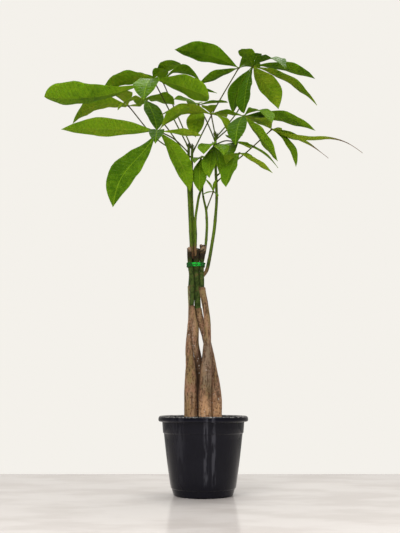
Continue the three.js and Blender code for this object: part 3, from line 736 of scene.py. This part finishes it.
def soil_finishes():
    """The potting mix and its crumbs, bark chips and perlite."""
    peat = ((0.3, (0.006, 0.004, 0.003)), (0.55, (0.03, 0.02, 0.013)), (0.8, (0.09, 0.06, 0.038)))
    chip = ((0.3, (0.05, 0.028, 0.014)), (0.55, (0.13, 0.075, 0.038)), (0.8, (0.26, 0.17, 0.1)))
    white = ((0.3, (0.45, 0.43, 0.4)), (0.6, (0.72, 0.71, 0.68)), (0.8, (0.85, 0.84, 0.82)))
    return [crumb_finish("potting_mix", peat), crumb_finish("peat_crumbs", peat),
            crumb_finish("bark_chips", chip), crumb_finish("perlite", white, 0.0008, 0.8)]


def cut_finish():
    """The dried, ragged ends of the topped stems."""
    stops = ((0.4, (0.012, 0.008, 0.005)), (0.55, (0.06, 0.04, 0.022)), (0.7, (0.3, 0.23, 0.14)))
    return crumb_finish("cut_wood", stops, 0.0012, 0.9, 0.2, (300, 4, 0.65))


def bud_finish():
    """The brownish green scales of a closed bud."""
    paint = Paint("bud_scales")
    return paint.done(paint.coats((0.03, 0.045, 0.01), (paint.noise(300, 3), (0.1, 0.12, 0.03))), 0.6)


def stem_finish(colour):
    """Green shoots with fine lines along them: the stems dark and blotched with brown low down and dried
    at their cuts, the shoots brown where they leave them."""
    paint = Paint("green_stem")
    band = paint.band
    side = paint.parts(paint.where)
    height = side.also("Z")
    run = paint.parts(paint.surface(), "Y") * SURFACE_MM
    streak = paint.noise(420, 3, stretch=(1, 1, 0.07))
    patch = paint.noise(90, 4, 0.65)
    stub = paint.mark("shine")
    dark, bright = shades(colour, (0.52, 0.52, 1.4), (1.3, 1.3, 1.2))
    brown = (0.13, 0.075, 0.035)
    uneven = height + patch * 0.03
    low = 1 - band(height, 0.52, 0.56)
    heel = band(run, 24, 12, 0, 0.8) + band(side, 0.004, -0.004) * band(uneven, 0.58, 0.565, 0, 0.8)
    base = paint.coats(
        colour,
        (streak, bright),
        ((1 - band(height, 0.5, 0.6)) * 0.85, dark),
        (band(streak * 0.6 + patch * 0.4, 0.5, 0.4, 0, 0.75), dark),
        (band(patch, 0.5, 0.42, 0, 0.6) * low, (0.008, 0.013, 0.003)),
        (band(patch, 0.56, 0.66, 0, 0.5) * low, brown),
        (stub * band(uneven, 0.53, 0.545, 0, 0.95), (0.018, 0.012, 0.008)),
        (stub * band(uneven, 0.556, 0.565) * band(patch, 0.45, 0.52), (0.21, 0.145, 0.09)),
        ((1 - stub) * heel, brown),
        (band(paint.mark("tone"), 0.3, 0.9, 0, 0.25), brown))
    return paint.done(
        base, band(patch, 0.3, 0.7, 0.45, 0.6), 0.15, (streak * 0.6 + patch * 0.8, 0.0012, 0.7),
        Subsurface_Weight=0.06, Subsurface_Radius=(0.3, 1.0, 0.1), Subsurface_Scale=0.002)


def leaf_pattern(paint):
    """How near a spot lies to the side veins, the rib and the net between them, from 0 to 1."""
    flat = paint.surface()
    across = paint.parts(flat)
    along = across.also("Y") * SURFACE_MM
    across = abs(across) * SURFACE_MM
    wander = paint.noise(14, 2, where=flat) * 2.2
    course = (along - across * 0.62 + across * across * 0.006 + wander) * (math.pi / VEIN_SPACING)
    vein = (1 - abs(course.sine())) ** 3 * paint.band(across, 0.6, 1.8)
    net = paint.band(paint.cells(42, "DISTANCE_TO_EDGE", where=flat), 0.09, 0.0)
    return vein, paint.band(across, 1.6, 0.6), net


def leaf_finish(name, colour, tints, veins, midrib, through, rough, relief):
    """A face of a leaf. tints make its deep, young, vein and rib colours from the main one, veins and
    midrib are how much those show, and through is how much light passes."""
    paint = Paint(name)
    band = paint.band
    vein, rib, net = leaf_pattern(paint)
    patch = paint.noise(20, 3)
    blotch = paint.noise(75, 3)
    quilt = paint.noise(150, 3, 0.6)
    tone = paint.mark("tone") + (patch - 0.5) * 2.4 + (blotch - 0.5) * 1.3 + (quilt - 0.5) * 0.6
    edge = paint.mark("margin")
    shine = paint.mark("shine")
    deep, young, vein_colour, rib_colour = shades(colour, *tints)
    base = paint.coats(
        deep,
        (band(tone, -1, 0), colour),
        (band(tone, 0, 1), young),
        (vein * band(edge, 0.95, 0.6, 0, veins), vein_colour),
        (net * band(blotch, 0.35, 0.6, 0.05, 0.2), deep),
        (rib * midrib, rib_colour),
        (band(edge + patch * 0.1, 0.9, 1.02, 0, 0.25), young),
        (band(shine, -0.1, -0.9), (0.16, 0.11, 0.075)))
    height = (1 - vein) * 0.6 + quilt * 0.7 + blotch * 1.2 - rib * 0.3
    return paint.done(
        base, band(patch, 0.3, 0.7, rough, rough + 0.14), 0.03, (height, relief, 0.7),
        Coat_Weight=band(shine, 0, 1) * band(blotch, 0.3, 0.6, 0.6, 1), Coat_Roughness=0.3,
        Subsurface_Weight=through, Subsurface_Radius=(0.45, 1.0, 0.02), Subsurface_Scale=0.002)


def leaf_top_finish(colour):
    """The upper face of a leaf: deep green, with paler sunken veins."""
    tints = ((0.42, 0.52, 0.5), (1.9, 1.45, 1.2), (1.7, 1.5, 1.3), (2.1, 1.7, 2))
    return leaf_finish("leaf_top", colour, tints, veins=0.3, midrib=0.5, through=0.06, rough=0.4,
                       relief=0.0024)


def leaf_under_finish(colour):
    """The underside of a leaf: yellowish green that lets light through, with darker veins."""
    tints = ((0.45, 0.54, 0.6), (1.65, 1.25, 2), (0.5, 0.6, 0.7), (1.5, 1.2, 3))
    return leaf_finish("leaf_under", colour, tints, veins=0.16, midrib=0.3, through=0.15, rough=0.55,
                       relief=0.0018)


def petiole_finish(colour):
    """Leaf stalks: green, browner towards the knot that the leaflets spread from."""
    paint = Paint("leaf_stalk")
    streak = paint.noise(300, 3, stretch=(1, 1, 0.3))
    base = paint.coats(
        colour,
        (paint.band(paint.mark("tone") + streak * 0.3, 0.3, 1.15, 0, 0.8), (0.06, 0.038, 0.012)),
        (paint.band(streak, 0.55, 0.7, 0, 0.4), *shades(colour, 1.7)))
    return paint.done(base, 0.55, 0.1, (streak, 0.0004, 0.5))


def tie_finish(colour):
    """Shiny green plastic strap, with painted shade towards its left and right ends and in the hollows of its
    crinkles.
    """
    paint = Paint("tie_plastic")
    crinkle = paint.noise(260, 3)
    crease_shade, bright, dark = shades(colour, (0.3, 0.26, 0.4), (1.2, 1.1, 1.2), 0.12)
    base = paint.coats(
        # Painted shade and light: the deep colour lies in the hollows of the crinkles, the lighter one on
        # their tops
        crease_shade,
        (paint.band(crinkle, 0.42, 0.6), bright),
        # Painted shade towards the strap's left and right ends
        (paint.band(abs(paint.parts(paint.where) + 0.0155), 0.006, 0.012, 0, 0.95), dark))
    return paint.done(base, paint.band(crinkle, 0.3, 0.7, 0.12, 0.3), relief=(crinkle, 0.001, 0.8))


def floor_finish(colour):
    """Pale smooth floor with faint streaks and a soft sheen."""
    paint = Paint("pale_floor")
    cloud = paint.noise(9, 4, stretch=(0.5, 1, 1))
    pale, dim = shades(colour, (1.05, 1.07, 1.08), 0.93)
    return paint.done(paint.coats(pale, (paint.band(cloud, 0.4, 0.62), dim)), 0.14, 1.0)


# Pieces
def claim(made, slot, *nodes):
    """Lets a piece stand for its solids. The slot it would take its finish from is not used."""
    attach(made, BODY)
    if nodes:
        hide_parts(*nodes)


def plain_copy(made):
    """The finished mesh of a piece with modifiers, as a plain piece of the same name."""
    graph = bpy.context.evaluated_depsgraph_get()
    graph.update()
    mesh = bpy.data.meshes.new_from_object(made.evaluated_get(graph), depsgraph=graph)
    name = made.name
    bpy.data.objects.remove(made)
    mesh.name = name
    return put(name, mesh)


def moved(radius, height, *moves):
    """Places on the pot's profile, given from one of its corners."""
    return [(radius + out, height + up) for out, up in moves]


def pot_profile():
    """Radius and height from the middle of the underside, over the rim, to the middle inside."""
    lip = POT_HEIGHT - RIM_DEPTH
    rise = BAND_BOTTOM - 2.4 - FOOT_HEIGHT
    spread = BODY_TOP_RADIUS - BODY_BOTTOM_RADIUS
    return [
        (9, 1.2),
        *moved(FOOT_RADIUS, 0, (-8, 1.2), (-7, 0.2), (-6.4, 0), (-2, 0), (-0.6, 0.4), (0.6, 1.6), (1.1, 3)),
        *moved(FOOT_TOP_RADIUS, FOOT_HEIGHT, (-0.2, -3), (0.1, -1.8)),
        *moved(BODY_BOTTOM_RADIUS, FOOT_HEIGHT, (-0.7, -0.6), (0, 0.5)),
        *moved(BODY_BOTTOM_RADIUS, FOOT_HEIGHT, *(
            (spread * share + 0.7 * math.sin(math.pi * share), rise * share)
            for share in (0.15, 0.3, 0.45, 0.6, 0.75, 0.9, 1))),
        (BODY_TOP_RADIUS + 0.4, BAND_BOTTOM - 1.4),
        *moved(BAND_RADIUS, BAND_BOTTOM, (-0.5, -0.6), (0, 0.5), (1, 12)),
        *moved(BAND_RADIUS, lip, (1.9, -1.2), (2.8, -0.2)),
        *moved(RIM_RADIUS, lip, (-3.2, -0.3), (-1.3, 0.5), (-0.3, 2), (0, 4), (-0.2, 7), (-1.1, 9.6),
               (-2.7, 11.3)),
        *moved(RIM_RADIUS, POT_HEIGHT, (-4.8, 0), (-6.8, -0.3), (-8.4, -1.8)),
        (RIM_RADIUS - 9.4, lip + 5),
        (BAND_RADIUS + 1.5 - WALL, lip - 1),
        (BAND_RADIUS - WALL, BAND_BOTTOM),
        (BODY_TOP_RADIUS - WALL, BAND_BOTTOM - 3),
        (BODY_BOTTOM_RADIUS - WALL, FOOT_HEIGHT),
        (FOOT_RADIUS + 1 - WALL, FLOOR + 1.2),
        (FOOT_RADIUS - 0.5 - WALL, FLOOR),
        (9, FLOOR),
    ]


def make_pot(material):
    """The nursery pot, turned from its profile and drilled for drainage."""
    angle = turned(POT_SIDES)
    rings = [circle(radius, height, angle) for radius, height in pot_profile()]
    shell = Shell()
    shell.add(rings, loft_faces(len(rings), POT_SIDES))
    pot = shell.piece("nursery_pot", [material], sharp=35)
    drills = bmesh.new()
    for hole in range(DRAIN_HOLES):
        turn = FULL_TURN * (hole + 0.5) / DRAIN_HOLES
        drill = bmesh.ops.create_cone(drills, cap_ends=True, segments=32, radius1=DRAIN_RADIUS * MM,
                                      radius2=DRAIN_RADIUS * MM, depth=6 * FLOOR * MM)
        place = circle(DRAIN_CIRCLE, 0, turn) * MM
        bmesh.ops.translate(drills, verts=drill["verts"], vec=place)
    mesh = bpy.data.meshes.new("drills")
    drills.to_mesh(mesh)
    drills.free()
    cutter = put("drills", mesh)
    cut = pot.modifiers.new("drainage", "BOOLEAN")
    cut.operation = "DIFFERENCE"
    cut.solver = "EXACT"
    cut.object = cutter
    pot = plain_copy(pot)
    bpy.data.objects.remove(cutter)
    bpy.data.meshes.remove(mesh)
    claim(pot, "pot_plastic", "pot")


def soil_height(rng):
    """A function of place that gives the loose, slightly mounded top of the soil."""
    terms = [(rng.uniform(-1, 1, 2) * FULL_TURN / length, rng.uniform(0, FULL_TURN), depth)
             for length, depth, count in ((70, 0.8, 4), (22, 0.5, 7), (8, 0.32, 10)) for _ in range(count)]
    slope = [0, 30, 60, 84.6], [SOIL_CROWN, SOIL_CROWN, SOIL_EDGE + 2.5, SOIL_EDGE - 0.6]

    def height(x, y):
        top = np.interp(np.hypot(x, y), *slope)
        for turn, start, depth in terms:
            top = top + depth * np.sin(turn[0] * x + turn[1] * y + start)
        for route in TRUNKS.values():
            right, back = route[1][:2]
            top = top + 1.6 * np.exp(-np.maximum(np.hypot(x - right, y - back) - 13, 0) / 6)
        return top

    return height


def scatter_tree():
    """Geometry nodes that strew ragged bits over a surface."""
    tree = bpy.data.node_groups.new("strewn_bits", "GeometryNodeTree")
    sockets = {"Ground": "Geometry", "Density": "Float", "Smallest": "Float", "Largest": "Float",
               "Flatness": "Float", "Raggedness": "Float", "Seed": "Int", "Material": "Material"}
    for name, kind in sockets.items():
        tree.interface.new_socket(name=name, in_out="INPUT", socket_type="NodeSocket" + kind)
    tree.interface.new_socket(name="Bits", in_out="OUTPUT", socket_type="NodeSocketGeometry")
    make = Nodes(tree).make
    given = make("NodeGroupInput").also
    seed = given("Seed")

    def vary(low, high):
        return make("FunctionNodeRandomValue", {"data_type": "FLOAT_VECTOR"}, {0: low, 1: high, "Seed": seed})

    def vector_maths(operation, first, second, by=1):
        return make("ShaderNodeVectorMath", {"operation": operation}, {0: first, by: second})

    spots = make("GeometryNodeDistributePointsOnFaces", None, {
        "Mesh": given("Ground"), "Density": given("Density"), "Seed": seed})
    grain = make("GeometryNodeMeshIcoSphere", None, {"Radius": 0.5, "Subdivisions": 2})
    size = make("FunctionNodeRandomValue", {"data_type": "FLOAT"}, {
        2: given("Smallest"), 3: given("Largest"), "Seed": seed}, 1)
    flat = make("ShaderNodeCombineXYZ", None, {0: 1.0, 1: 1.0, 2: given("Flatness")})
    shape = vector_maths("MULTIPLY", vary((0.7, 0.6, 0.55), (1.3, 1.0, 0.9)), flat)
    placed = make("GeometryNodeInstanceOnPoints", None, {
        "Points": spots, "Instance": grain, "Rotation": vary((-0.5, -0.5, 0.0), (0.5, 0.5, FULL_TURN)),
        "Scale": vector_maths("SCALE", shape, size, "Scale")})
    whole = make("GeometryNodeRealizeInstances", None, {"Geometry": placed})
    dents = make("ShaderNodeTexNoise", None, {"Scale": 420.0, "Detail": 1.0}, "Color")
    shift = vector_maths("SUBTRACT", dents, (0.5, 0.5, 0.5))
    ragged = make("GeometryNodeSetPosition", None, {
        "Geometry": whole, "Offset": vector_maths("SCALE", shift, given("Raggedness"), "Scale")})
    coloured = make("GeometryNodeSetMaterial", None, {"Geometry": ragged, "Material": given("Material")})
    tree.links.new(coloured.socket, tree.nodes.new("NodeGroupOutput").inputs["Bits"])
    return tree


def make_soil(sizes, finishes):
    """The potting mix, with crumbs, bark chips and perlite strewn over it."""
    mix, crumb, chip, white = finishes
    height = soil_height(np.random.default_rng(SOIL_SEED))
    angle = turned(SOIL_SIDES)
    inside = WALL + SEAT_GAP
    rings = [circle(radius, level, angle) for radius, level in (
        (FOOT_RADIUS + 1 - inside, FLOOR + SEAT_GAP), (BODY_BOTTOM_RADIUS - inside, FOOT_HEIGHT),
        (BAND_RADIUS - inside, BAND_BOTTOM), (BAND_RADIUS + 1.2 - inside, SOIL_EDGE - 4))]
    top = [circle(radius, height(radius * np.cos(angle), radius * np.sin(angle)), angle)
           for radius in np.linspace(BAND_RADIUS - 1 - inside, 2, SOIL_RINGS)]
    shell = Shell()
    shell.add(rings + top, loft_faces(len(rings + top), SOIL_SIDES))
    claim(shell.piece("potting_soil", [mix]), "soil", "soil")
    tree = scatter_tree()
    strewn = {"soil_crumbs": (sizes.crumb_density, 1.2, 3.4, 0.75, crumb),
              "soil_chips": (sizes.crumb_density * 0.12, 2.2, 6.0, 0.4, chip),
              "soil_perlite": (sizes.perlite_density, 1.4, 3.8, 0.85, white)}
    for seed, (name, (density, small, large, flatness, finish)) in enumerate(strewn.items(), BITS_SEED):
        ground = Shell()
        ground.add(top, loft_faces(len(top), SOIL_SIDES, cap_low=False))
        bits = ground.piece(name, [finish])
        modifier = bits.modifiers.new(tree.name, "NODES")
        modifier.node_group = tree
        values = {"Density": density, "Smallest": small * MM, "Largest": large * MM, "Flatness": flatness,
                  "Raggedness": 1.6 * MM, "Seed": seed, "Material": finish}
        for item in tree.interface.items_tree:
            if item.name in values:
                modifier[item.identifier] = values[item.name]
        claim(plain_copy(bits), "soil")


def make_trunks(material):
    """The four brown trunks, each from its root in the soil to its scar."""
    angle = turned(TRUNK_SIDES)
    for order, (name, route) in enumerate(TRUNKS.items()):
        rng = np.random.default_rng(TRUNK_SEED + order)
        top = route[-1][2]
        centres, radii, run = along_route(route, int((top - ROOT_DEPTH) / TRUNK_STEP))
        left = run[-1] - run
        radii = radii * np.sqrt(np.clip(1 - ((3.2 - np.minimum(left, 3.2)) / 4.2) ** 2, 0.05, 1))
        height = centres[:, 2:]
        relief = ripple(rng, angle, height, BARK_WAVES)
        levels = np.arange(RING_START, top, RING_STEP)
        for place in levels + rng.uniform(-RING_STRAY, RING_STRAY, len(levels)):
            relief = relief + RING_RELIEF * peak(height - place - 0.8 * np.sin(angle + place), 1.3)
        mark = peak(left - 5, 2.5)[:, None]
        for turn, level, size, stand in SCARS[name]:
            aside = np.remainder(angle - math.radians(turn) + math.pi, FULL_TURN) - math.pi
            far = np.hypot(aside * radii[:, None], height - level)
            ring = peak(far - size, 1.1)
            relief = relief + stand * (ring - 0.4 * peak(far, size * 0.6))
            mark = np.maximum(mark, ring)
        shell = Shell()
        shell.add(rings_round(centres, radii, TRUNK_SIDES, relief=relief),
                  loft_faces(len(centres), TRUNK_SIDES), 0, unrolled(angle, run), mark,
                  np.repeat(peak(left, 2.6), TRUNK_SIDES))
        claim(shell.piece(f"bark_{name}", [material], sharp=60), "bark", f"trunk_{name}")


def add_bud(shell, rng, tip, along, radius, length):
    """The closed bud at the end of a shoot, with the narrow scales round it."""
    share = np.linspace(0, 1, 9)
    centres = tip + along * (share * length)[:, None]
    bulge = radius * (1 - share) ** 0.7 * (1 + 0.3 * np.sin(math.pi * share)) + 0.25
    add_tube(shell, centres, bulge, 10, BUD)
    for scale in range(6):
        turn = scale * 2.4 + rng.uniform(0, 0.6)
        outward = np.array([math.cos(turn), math.sin(turn), 0])
        start = tip - along * (length * 0.25 * (scale % 3)) + outward * radius * 0.7
        reach = along * length * rng.uniform(0.7, 1.0) + outward * length * rng.uniform(0.25, 0.5)
        path = spline([start, start + reach * 0.55 + along, start + reach], share)
        add_tube(shell, path, 0.75 * np.sin(math.pi * (0.15 + 0.8 * share)) + 0.12, 6, BUD)


def make_stems(materials):
    """The green stems above the scars, their dried cut ends, and the shoots with their buds."""
    angle = turned(STEM_SIDES)
    for order, (name, tubes) in enumerate(STEMS.items()):
        rng = np.random.default_rng(STEM_SEED + order)
        shell = Shell()
        for bud, route in tubes:
            cut = bud == 0
            length = travelled(np.array(route, float)[:, :3])[-1]
            centres, radii, run = along_route(route, int(length / STEM_STEP))
            relief = ripple(rng, angle, run[:, None], STUB_WAVES if cut else SHOOT_WAVES)
            joint = np.zeros(len(run))
            for place in np.arange(JOINT_START + rng.uniform(0, 20), run[-1] - JOINT_STRAY, JOINT_STEP):
                away = run - place - rng.uniform(-JOINT_STRAY, JOINT_STRAY)
                joint = np.maximum(joint, peak(away, 2.2))
            radii = radii + joint * (STUB_JOINT if cut else SHOOT_JOINT)
            if cut:
                radii = radii * (1 + 0.08 * peak(run[-1] - run, 3))
            rings = rings_round(centres, radii, STEM_SIDES, relief=relief)
            if cut:
                rings[-1, :, 2] += 1.8 * np.cos(angle + order) + rng.uniform(-1.2, 1.6, STEM_SIDES)
            else:
                rings[0] = centres[0] + (rings[0] - centres[0]) * 0.6
            faces = loft_faces(len(rings), STEM_SIDES)
            shell.add(rings, faces, [STEM] * (len(faces) - 1) + [CUT if cut else STEM],
                      unrolled(angle, run), np.repeat(joint, STEM_SIDES), float(cut))
            if not cut:
                add_bud(shell, rng, centres[-1], unit(centres[-1] - centres[-3]), radii[-1], bud)
        claim(shell.piece(f"green_stem_{name}", materials, sharp=55), "stem", f"stem_{name}")


def tie_path():
    """The strap's middle line: evenly spaced places round the four stems, and their turns so far."""
    ring = []
    for angle in np.linspace(0, FULL_TURN, TIE_PLACES, endpoint=False) + 0.3:
        way = np.array([math.cos(angle), math.sin(angle)])
        x, y, radius = max(TIED, key=lambda stem: stem[0] * way[0] + stem[1] * way[1] + stem[2])
        ring.append(np.array([x, y]) + way * (radius + 2 * SEAT_GAP + 0.9))
    ring = np.array(ring + ring[:1])
    run = travelled(ring)
    place = np.linspace(0, TIE_TURNS, TIE_TURNS * TIE_STEPS + 1)
    flat = np.stack([np.interp((place % 1) * run[-1], run, ring[:, axis]) for axis in (0, 1)], -1)
    return place, flat


def make_tie(material):
    """The green strap, wound three times round the stems, with its end a little loose."""
    place, flat = tie_path()
    pitch = (TIE_TOP - TIE_BOTTOM) / TIE_TURNS
    level = TIE_BOTTOM + pitch / 2 + np.clip(place - 0.5, 0, TIE_TURNS - 1) * pitch
    middle = np.column_stack([flat, level + 0.25 * np.sin(place * 9.0)])
    outward = np.column_stack([flat - flat.mean(axis=0), 0 * place])
    way = np.gradient(middle, axis=0)
    across = unit(np.cross(way, UP))
    across = across * np.sign((across * outward).sum(-1))[:, None]
    loose = 1.6 * np.clip((place - TIE_TURNS + 0.07) / 0.07, 0, 1) ** 2
    angle = turned(TIE_SIDES)[:, None]
    round_it = np.sign(np.cross(unit(way), across)[:, 2]).mean()
    rings = ((middle + across * loose[:, None])[:, None] + across[:, None] * (0.95 * np.cos(angle))
             + round_it * UP * (pitch * 0.4 * np.sin(angle)))
    shell = Shell()
    shell.add(rings, loft_faces(len(rings), TIE_SIDES))
    claim(shell.piece("green_tie", [material], sharp=60), "tie", "tie")


def make_leaves(materials):
    """Every leaf: its stalk, the knot at its end and its leaflets, in one piece each."""
    for order, (name, (*places, leaf_tone, leaflets)) in enumerate(LEAVES.items()):
        rng = np.random.default_rng(LEAF_SEED + order)
        shell = Shell()
        root, knot, bow = np.array(places, float)
        add_petiole(shell, root, knot, bow)
        for row in leaflets:
            *sizes, tone_and_shade, shaping = row + (0, {})[len(row) - PLAIN_ROW:]
            # A leaflet's tone is partly painted light and shade: it is also set paler or deeper for how light
            # falls on it
            tone = leaf_tone + tone_and_shade + rng.uniform(-TONE_SPREAD, TONE_SPREAD)
            add_leaflet(shell, rng, knot, sizes, tone, **shaping)
        claim(shell.piece(f"leaves_{name}", materials, sharp=50), "leaf", f"leaf_{name}")


def light_room(tree, look):
    """Light from all round, weaker from the viewer's side, before a plain pale wall."""
    room = Nodes(tree)
    colour = tuple(look.wall_colour)
    depth = room.parts(room.make("ShaderNodeTexCoord", output="Generated"), "Y")
    strength = room.band(depth, DIM_SIDE, BRIGHT_SIDE, look.ambient * look.front_share, look.ambient)
    cast = room.make("ShaderNodeBackground", None, {"Color": colour, "Strength": strength})
    wall = room.make("ShaderNodeBackground", None, {"Color": colour})
    seen = room.make("ShaderNodeMixShader", None, {
        0: room.make("ShaderNodeLightPath", output="Is Camera Ray"), 1: cast, 2: wall})
    tree.nodes.remove(tree.nodes["Background"])
    tree.links.new(seen.socket, tree.nodes["World Output"].inputs["Surface"])


def make_stage(look):
    """Pale floor that ends at the wall line, soft studio light, and the camera."""
    mesh = bpy.data.meshes.new("floor")
    mesh.from_pydata([(FLOOR_LEFT, FLOOR_FRONT, 0), (FLOOR_RIGHT, FLOOR_FRONT, 0),
                      (FLOOR_RIGHT, FLOOR_BACK, 0), (FLOOR_LEFT, FLOOR_BACK, 0)], [], [(0, 1, 2, 3)])
    mesh.materials.append(floor_finish(tuple(look.floor_colour)))
    put("floor", mesh)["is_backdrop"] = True

    world = bpy.data.worlds.new("studio")
    bpy.context.scene.world = world
    world.use_nodes = True
    light_room(world.node_tree, look)
    for name, (place, aim, size, power) in WINDOWS.items():
        lamp = bpy.data.lights.new(name, "AREA")
        lamp.shape = "SQUARE"
        lamp.size = size
        lamp.energy = look.key_power * power
        lamp.color = WINDOW_COLOUR
        light = put(name, lamp)
        light.location = place
        light.visible_glossy = name == "top_panel"
        right, back, up = np.array((0, 0, aim)) - place
        light.rotation_euler = (math.pi / 2 + math.atan2(up, math.hypot(right, back)), 0,
                                math.atan2(-right, back))

    lens = bpy.data.cameras.new("photo_view")
    lens.lens = look.lens
    lens.sensor_width = SENSOR
    camera = put("photo_view", lens)
    camera.location = CAMERA_PLACE
    camera.rotation_euler = (math.radians(90 + CAMERA_PITCH), 0, 0)
    bpy.context.scene.camera = camera
    bpy.context.scene.view_settings.view_transform = "Standard"
    bpy.context.scene.view_settings.look = "None"


# What a user would change
def tint(label, description, default):
    return bpy.props.FloatVectorProperty(name=label, description=description, default=default,
                                         subtype="COLOR", size=3, min=0.0, max=1.0)


def amount(label, description, default, least=0, **more):
    return bpy.props.FloatProperty(name=label, description=description, default=default, min=least, **more)


class PotLook(bpy.types.PropertyGroup):
    plastic: tint("Plastic", "Colour of the nursery pot", (0.005, 0.005, 0.009))


class SoilLook(bpy.types.PropertyGroup):
    crumb_density: amount("Crumbs", "Crumbs strewn over each square metre of soil", 62000)
    perlite_density: amount("Perlite", "Perlite grains over each square metre of soil", 3800)


class TreeLook(bpy.types.PropertyGroup):
    bark: tint("Bark", "Main colour of the trunks", (0.275, 0.178, 0.106))
    stem: tint("Green stems", "Colour of the green stems and shoots", (0.07, 0.115, 0.01))
    tie: tint("Tie", "Colour of the plastic strap", (0.004, 0.5, 0.03))


class LeafLook(bpy.types.PropertyGroup):
    top: tint("Upper face", "Colour of the leaves' upper faces", (0.084, 0.173, 0.006))
    under: tint("Underside", "Colour of the leaves' undersides", (0.123, 0.232, 0.007))
    stalk: tint("Stalks", "Colour of the leaf stalks", (0.07, 0.1, 0.012))


class StageLook(bpy.types.PropertyGroup):
    floor_colour: tint("Floor", "Colour of the floor", (0.87, 0.81, 0.78))
    wall_colour: tint("Surroundings", "Colour of the wall and of the light all round", (0.905, 0.88, 0.83))
    ambient: amount("Surrounding light", "Strength of the light all round", 0.44)
    front_share: amount("Front share", "How much of it comes from the viewer's side", 0.4, max=1)
    key_power: amount("Main light", "Power of the main window light", 46.0, subtype="POWER", unit="POWER")
    lens: amount("Lens", "Focal length of the camera", CAMERA_LENS, 1, unit="CAMERA")


# Operators
class BuildPot(bpy.types.Operator):
    """Build the nursery pot"""
    bl_idname = "money_tree.build_pot"
    bl_label = "Pot"

    def execute(self, context):
        make_pot(pot_finish(tuple(context.scene.pot_look.plastic)))
        return {"FINISHED"}


class BuildSoil(bpy.types.Operator):
    """Build the potting mix and what is strewn over it"""
    bl_idname = "money_tree.build_soil"
    bl_label = "Soil"

    def execute(self, context):
        make_soil(context.scene.soil_look, soil_finishes())
        return {"FINISHED"}


class BuildTrunks(bpy.types.Operator):
    """Build the four brown trunks"""
    bl_idname = "money_tree.build_trunks"
    bl_label = "Trunks"

    def execute(self, context):
        make_trunks(bark_finish(tuple(context.scene.tree_look.bark)))
        return {"FINISHED"}


class BuildStems(bpy.types.Operator):
    """Build the green stems and their shoots"""
    bl_idname = "money_tree.build_stems"
    bl_label = "Green stems"

    def execute(self, context):
        make_stems([stem_finish(tuple(context.scene.tree_look.stem)), cut_finish(), bud_finish()])
        return {"FINISHED"}


class BuildTie(bpy.types.Operator):
    """Build the strap that holds the stems together"""
    bl_idname = "money_tree.build_tie"
    bl_label = "Tie"

    def execute(self, context):
        make_tie(tie_finish(tuple(context.scene.tree_look.tie)))
        return {"FINISHED"}


class BuildLeaves(bpy.types.Operator):
    """Build every leaf"""
    bl_idname = "money_tree.build_leaves"
    bl_label = "Leaves"

    def execute(self, context):
        look = context.scene.leaf_look
        make_leaves([leaf_top_finish(tuple(look.top)), leaf_under_finish(tuple(look.under)),
                     petiole_finish(tuple(look.stalk))])
        return {"FINISHED"}


class BuildStage(bpy.types.Operator):
    """Build the floor, the light and the camera"""
    bl_idname = "money_tree.build_stage"
    bl_label = "Stage"

    def execute(self, context):
        make_stage(context.scene.stage_look)
        return {"FINISHED"}


LOOKS = {"pot_look": PotLook, "soil_look": SoilLook, "tree_look": TreeLook, "leaf_look": LeafLook,
         "stage_look": StageLook}
BUILDERS = (BuildPot, BuildSoil, BuildTrunks, BuildStems, BuildTie, BuildLeaves, BuildStage)


class MoneyTreePanel(bpy.types.Panel):
    """Lists what the object is built of"""
    bl_idname = "VIEW3D_PT_money_tree"
    bl_label = "Money Tree"
    bl_space_type = "VIEW_3D"
    bl_region_type = "UI"
    bl_category = "Money Tree"

    def draw(self, context):
        for look in LOOKS:
            box = self.layout.box()
            group = getattr(context.scene, look)
            for name in group.__annotations__:
                box.prop(group, name)
        for builder in BUILDERS:
            self.layout.operator(builder.bl_idname)


CLASSES = (*LOOKS.values(), *BUILDERS, MoneyTreePanel)


def register():
    for made in CLASSES:
        bpy.utils.register_class(made)
    for name, group in LOOKS.items():
        setattr(bpy.types.Scene, name, bpy.props.PointerProperty(type=group))


def unregister():
    for name in LOOKS:
        delattr(bpy.types.Scene, name)
    for made in reversed(CLASSES):
        bpy.utils.unregister_class(made)


def corners():
    return [list(corner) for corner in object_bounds()]


def main():
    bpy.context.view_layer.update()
    register()
    for build in (bpy.ops.money_tree.build_pot, bpy.ops.money_tree.build_soil,
                  bpy.ops.money_tree.build_trunks, bpy.ops.money_tree.build_stems,
                  bpy.ops.money_tree.build_tie, bpy.ops.money_tree.build_leaves,
                  bpy.ops.money_tree.build_stage):
        build()


if __name__ == "__main__":
    main()
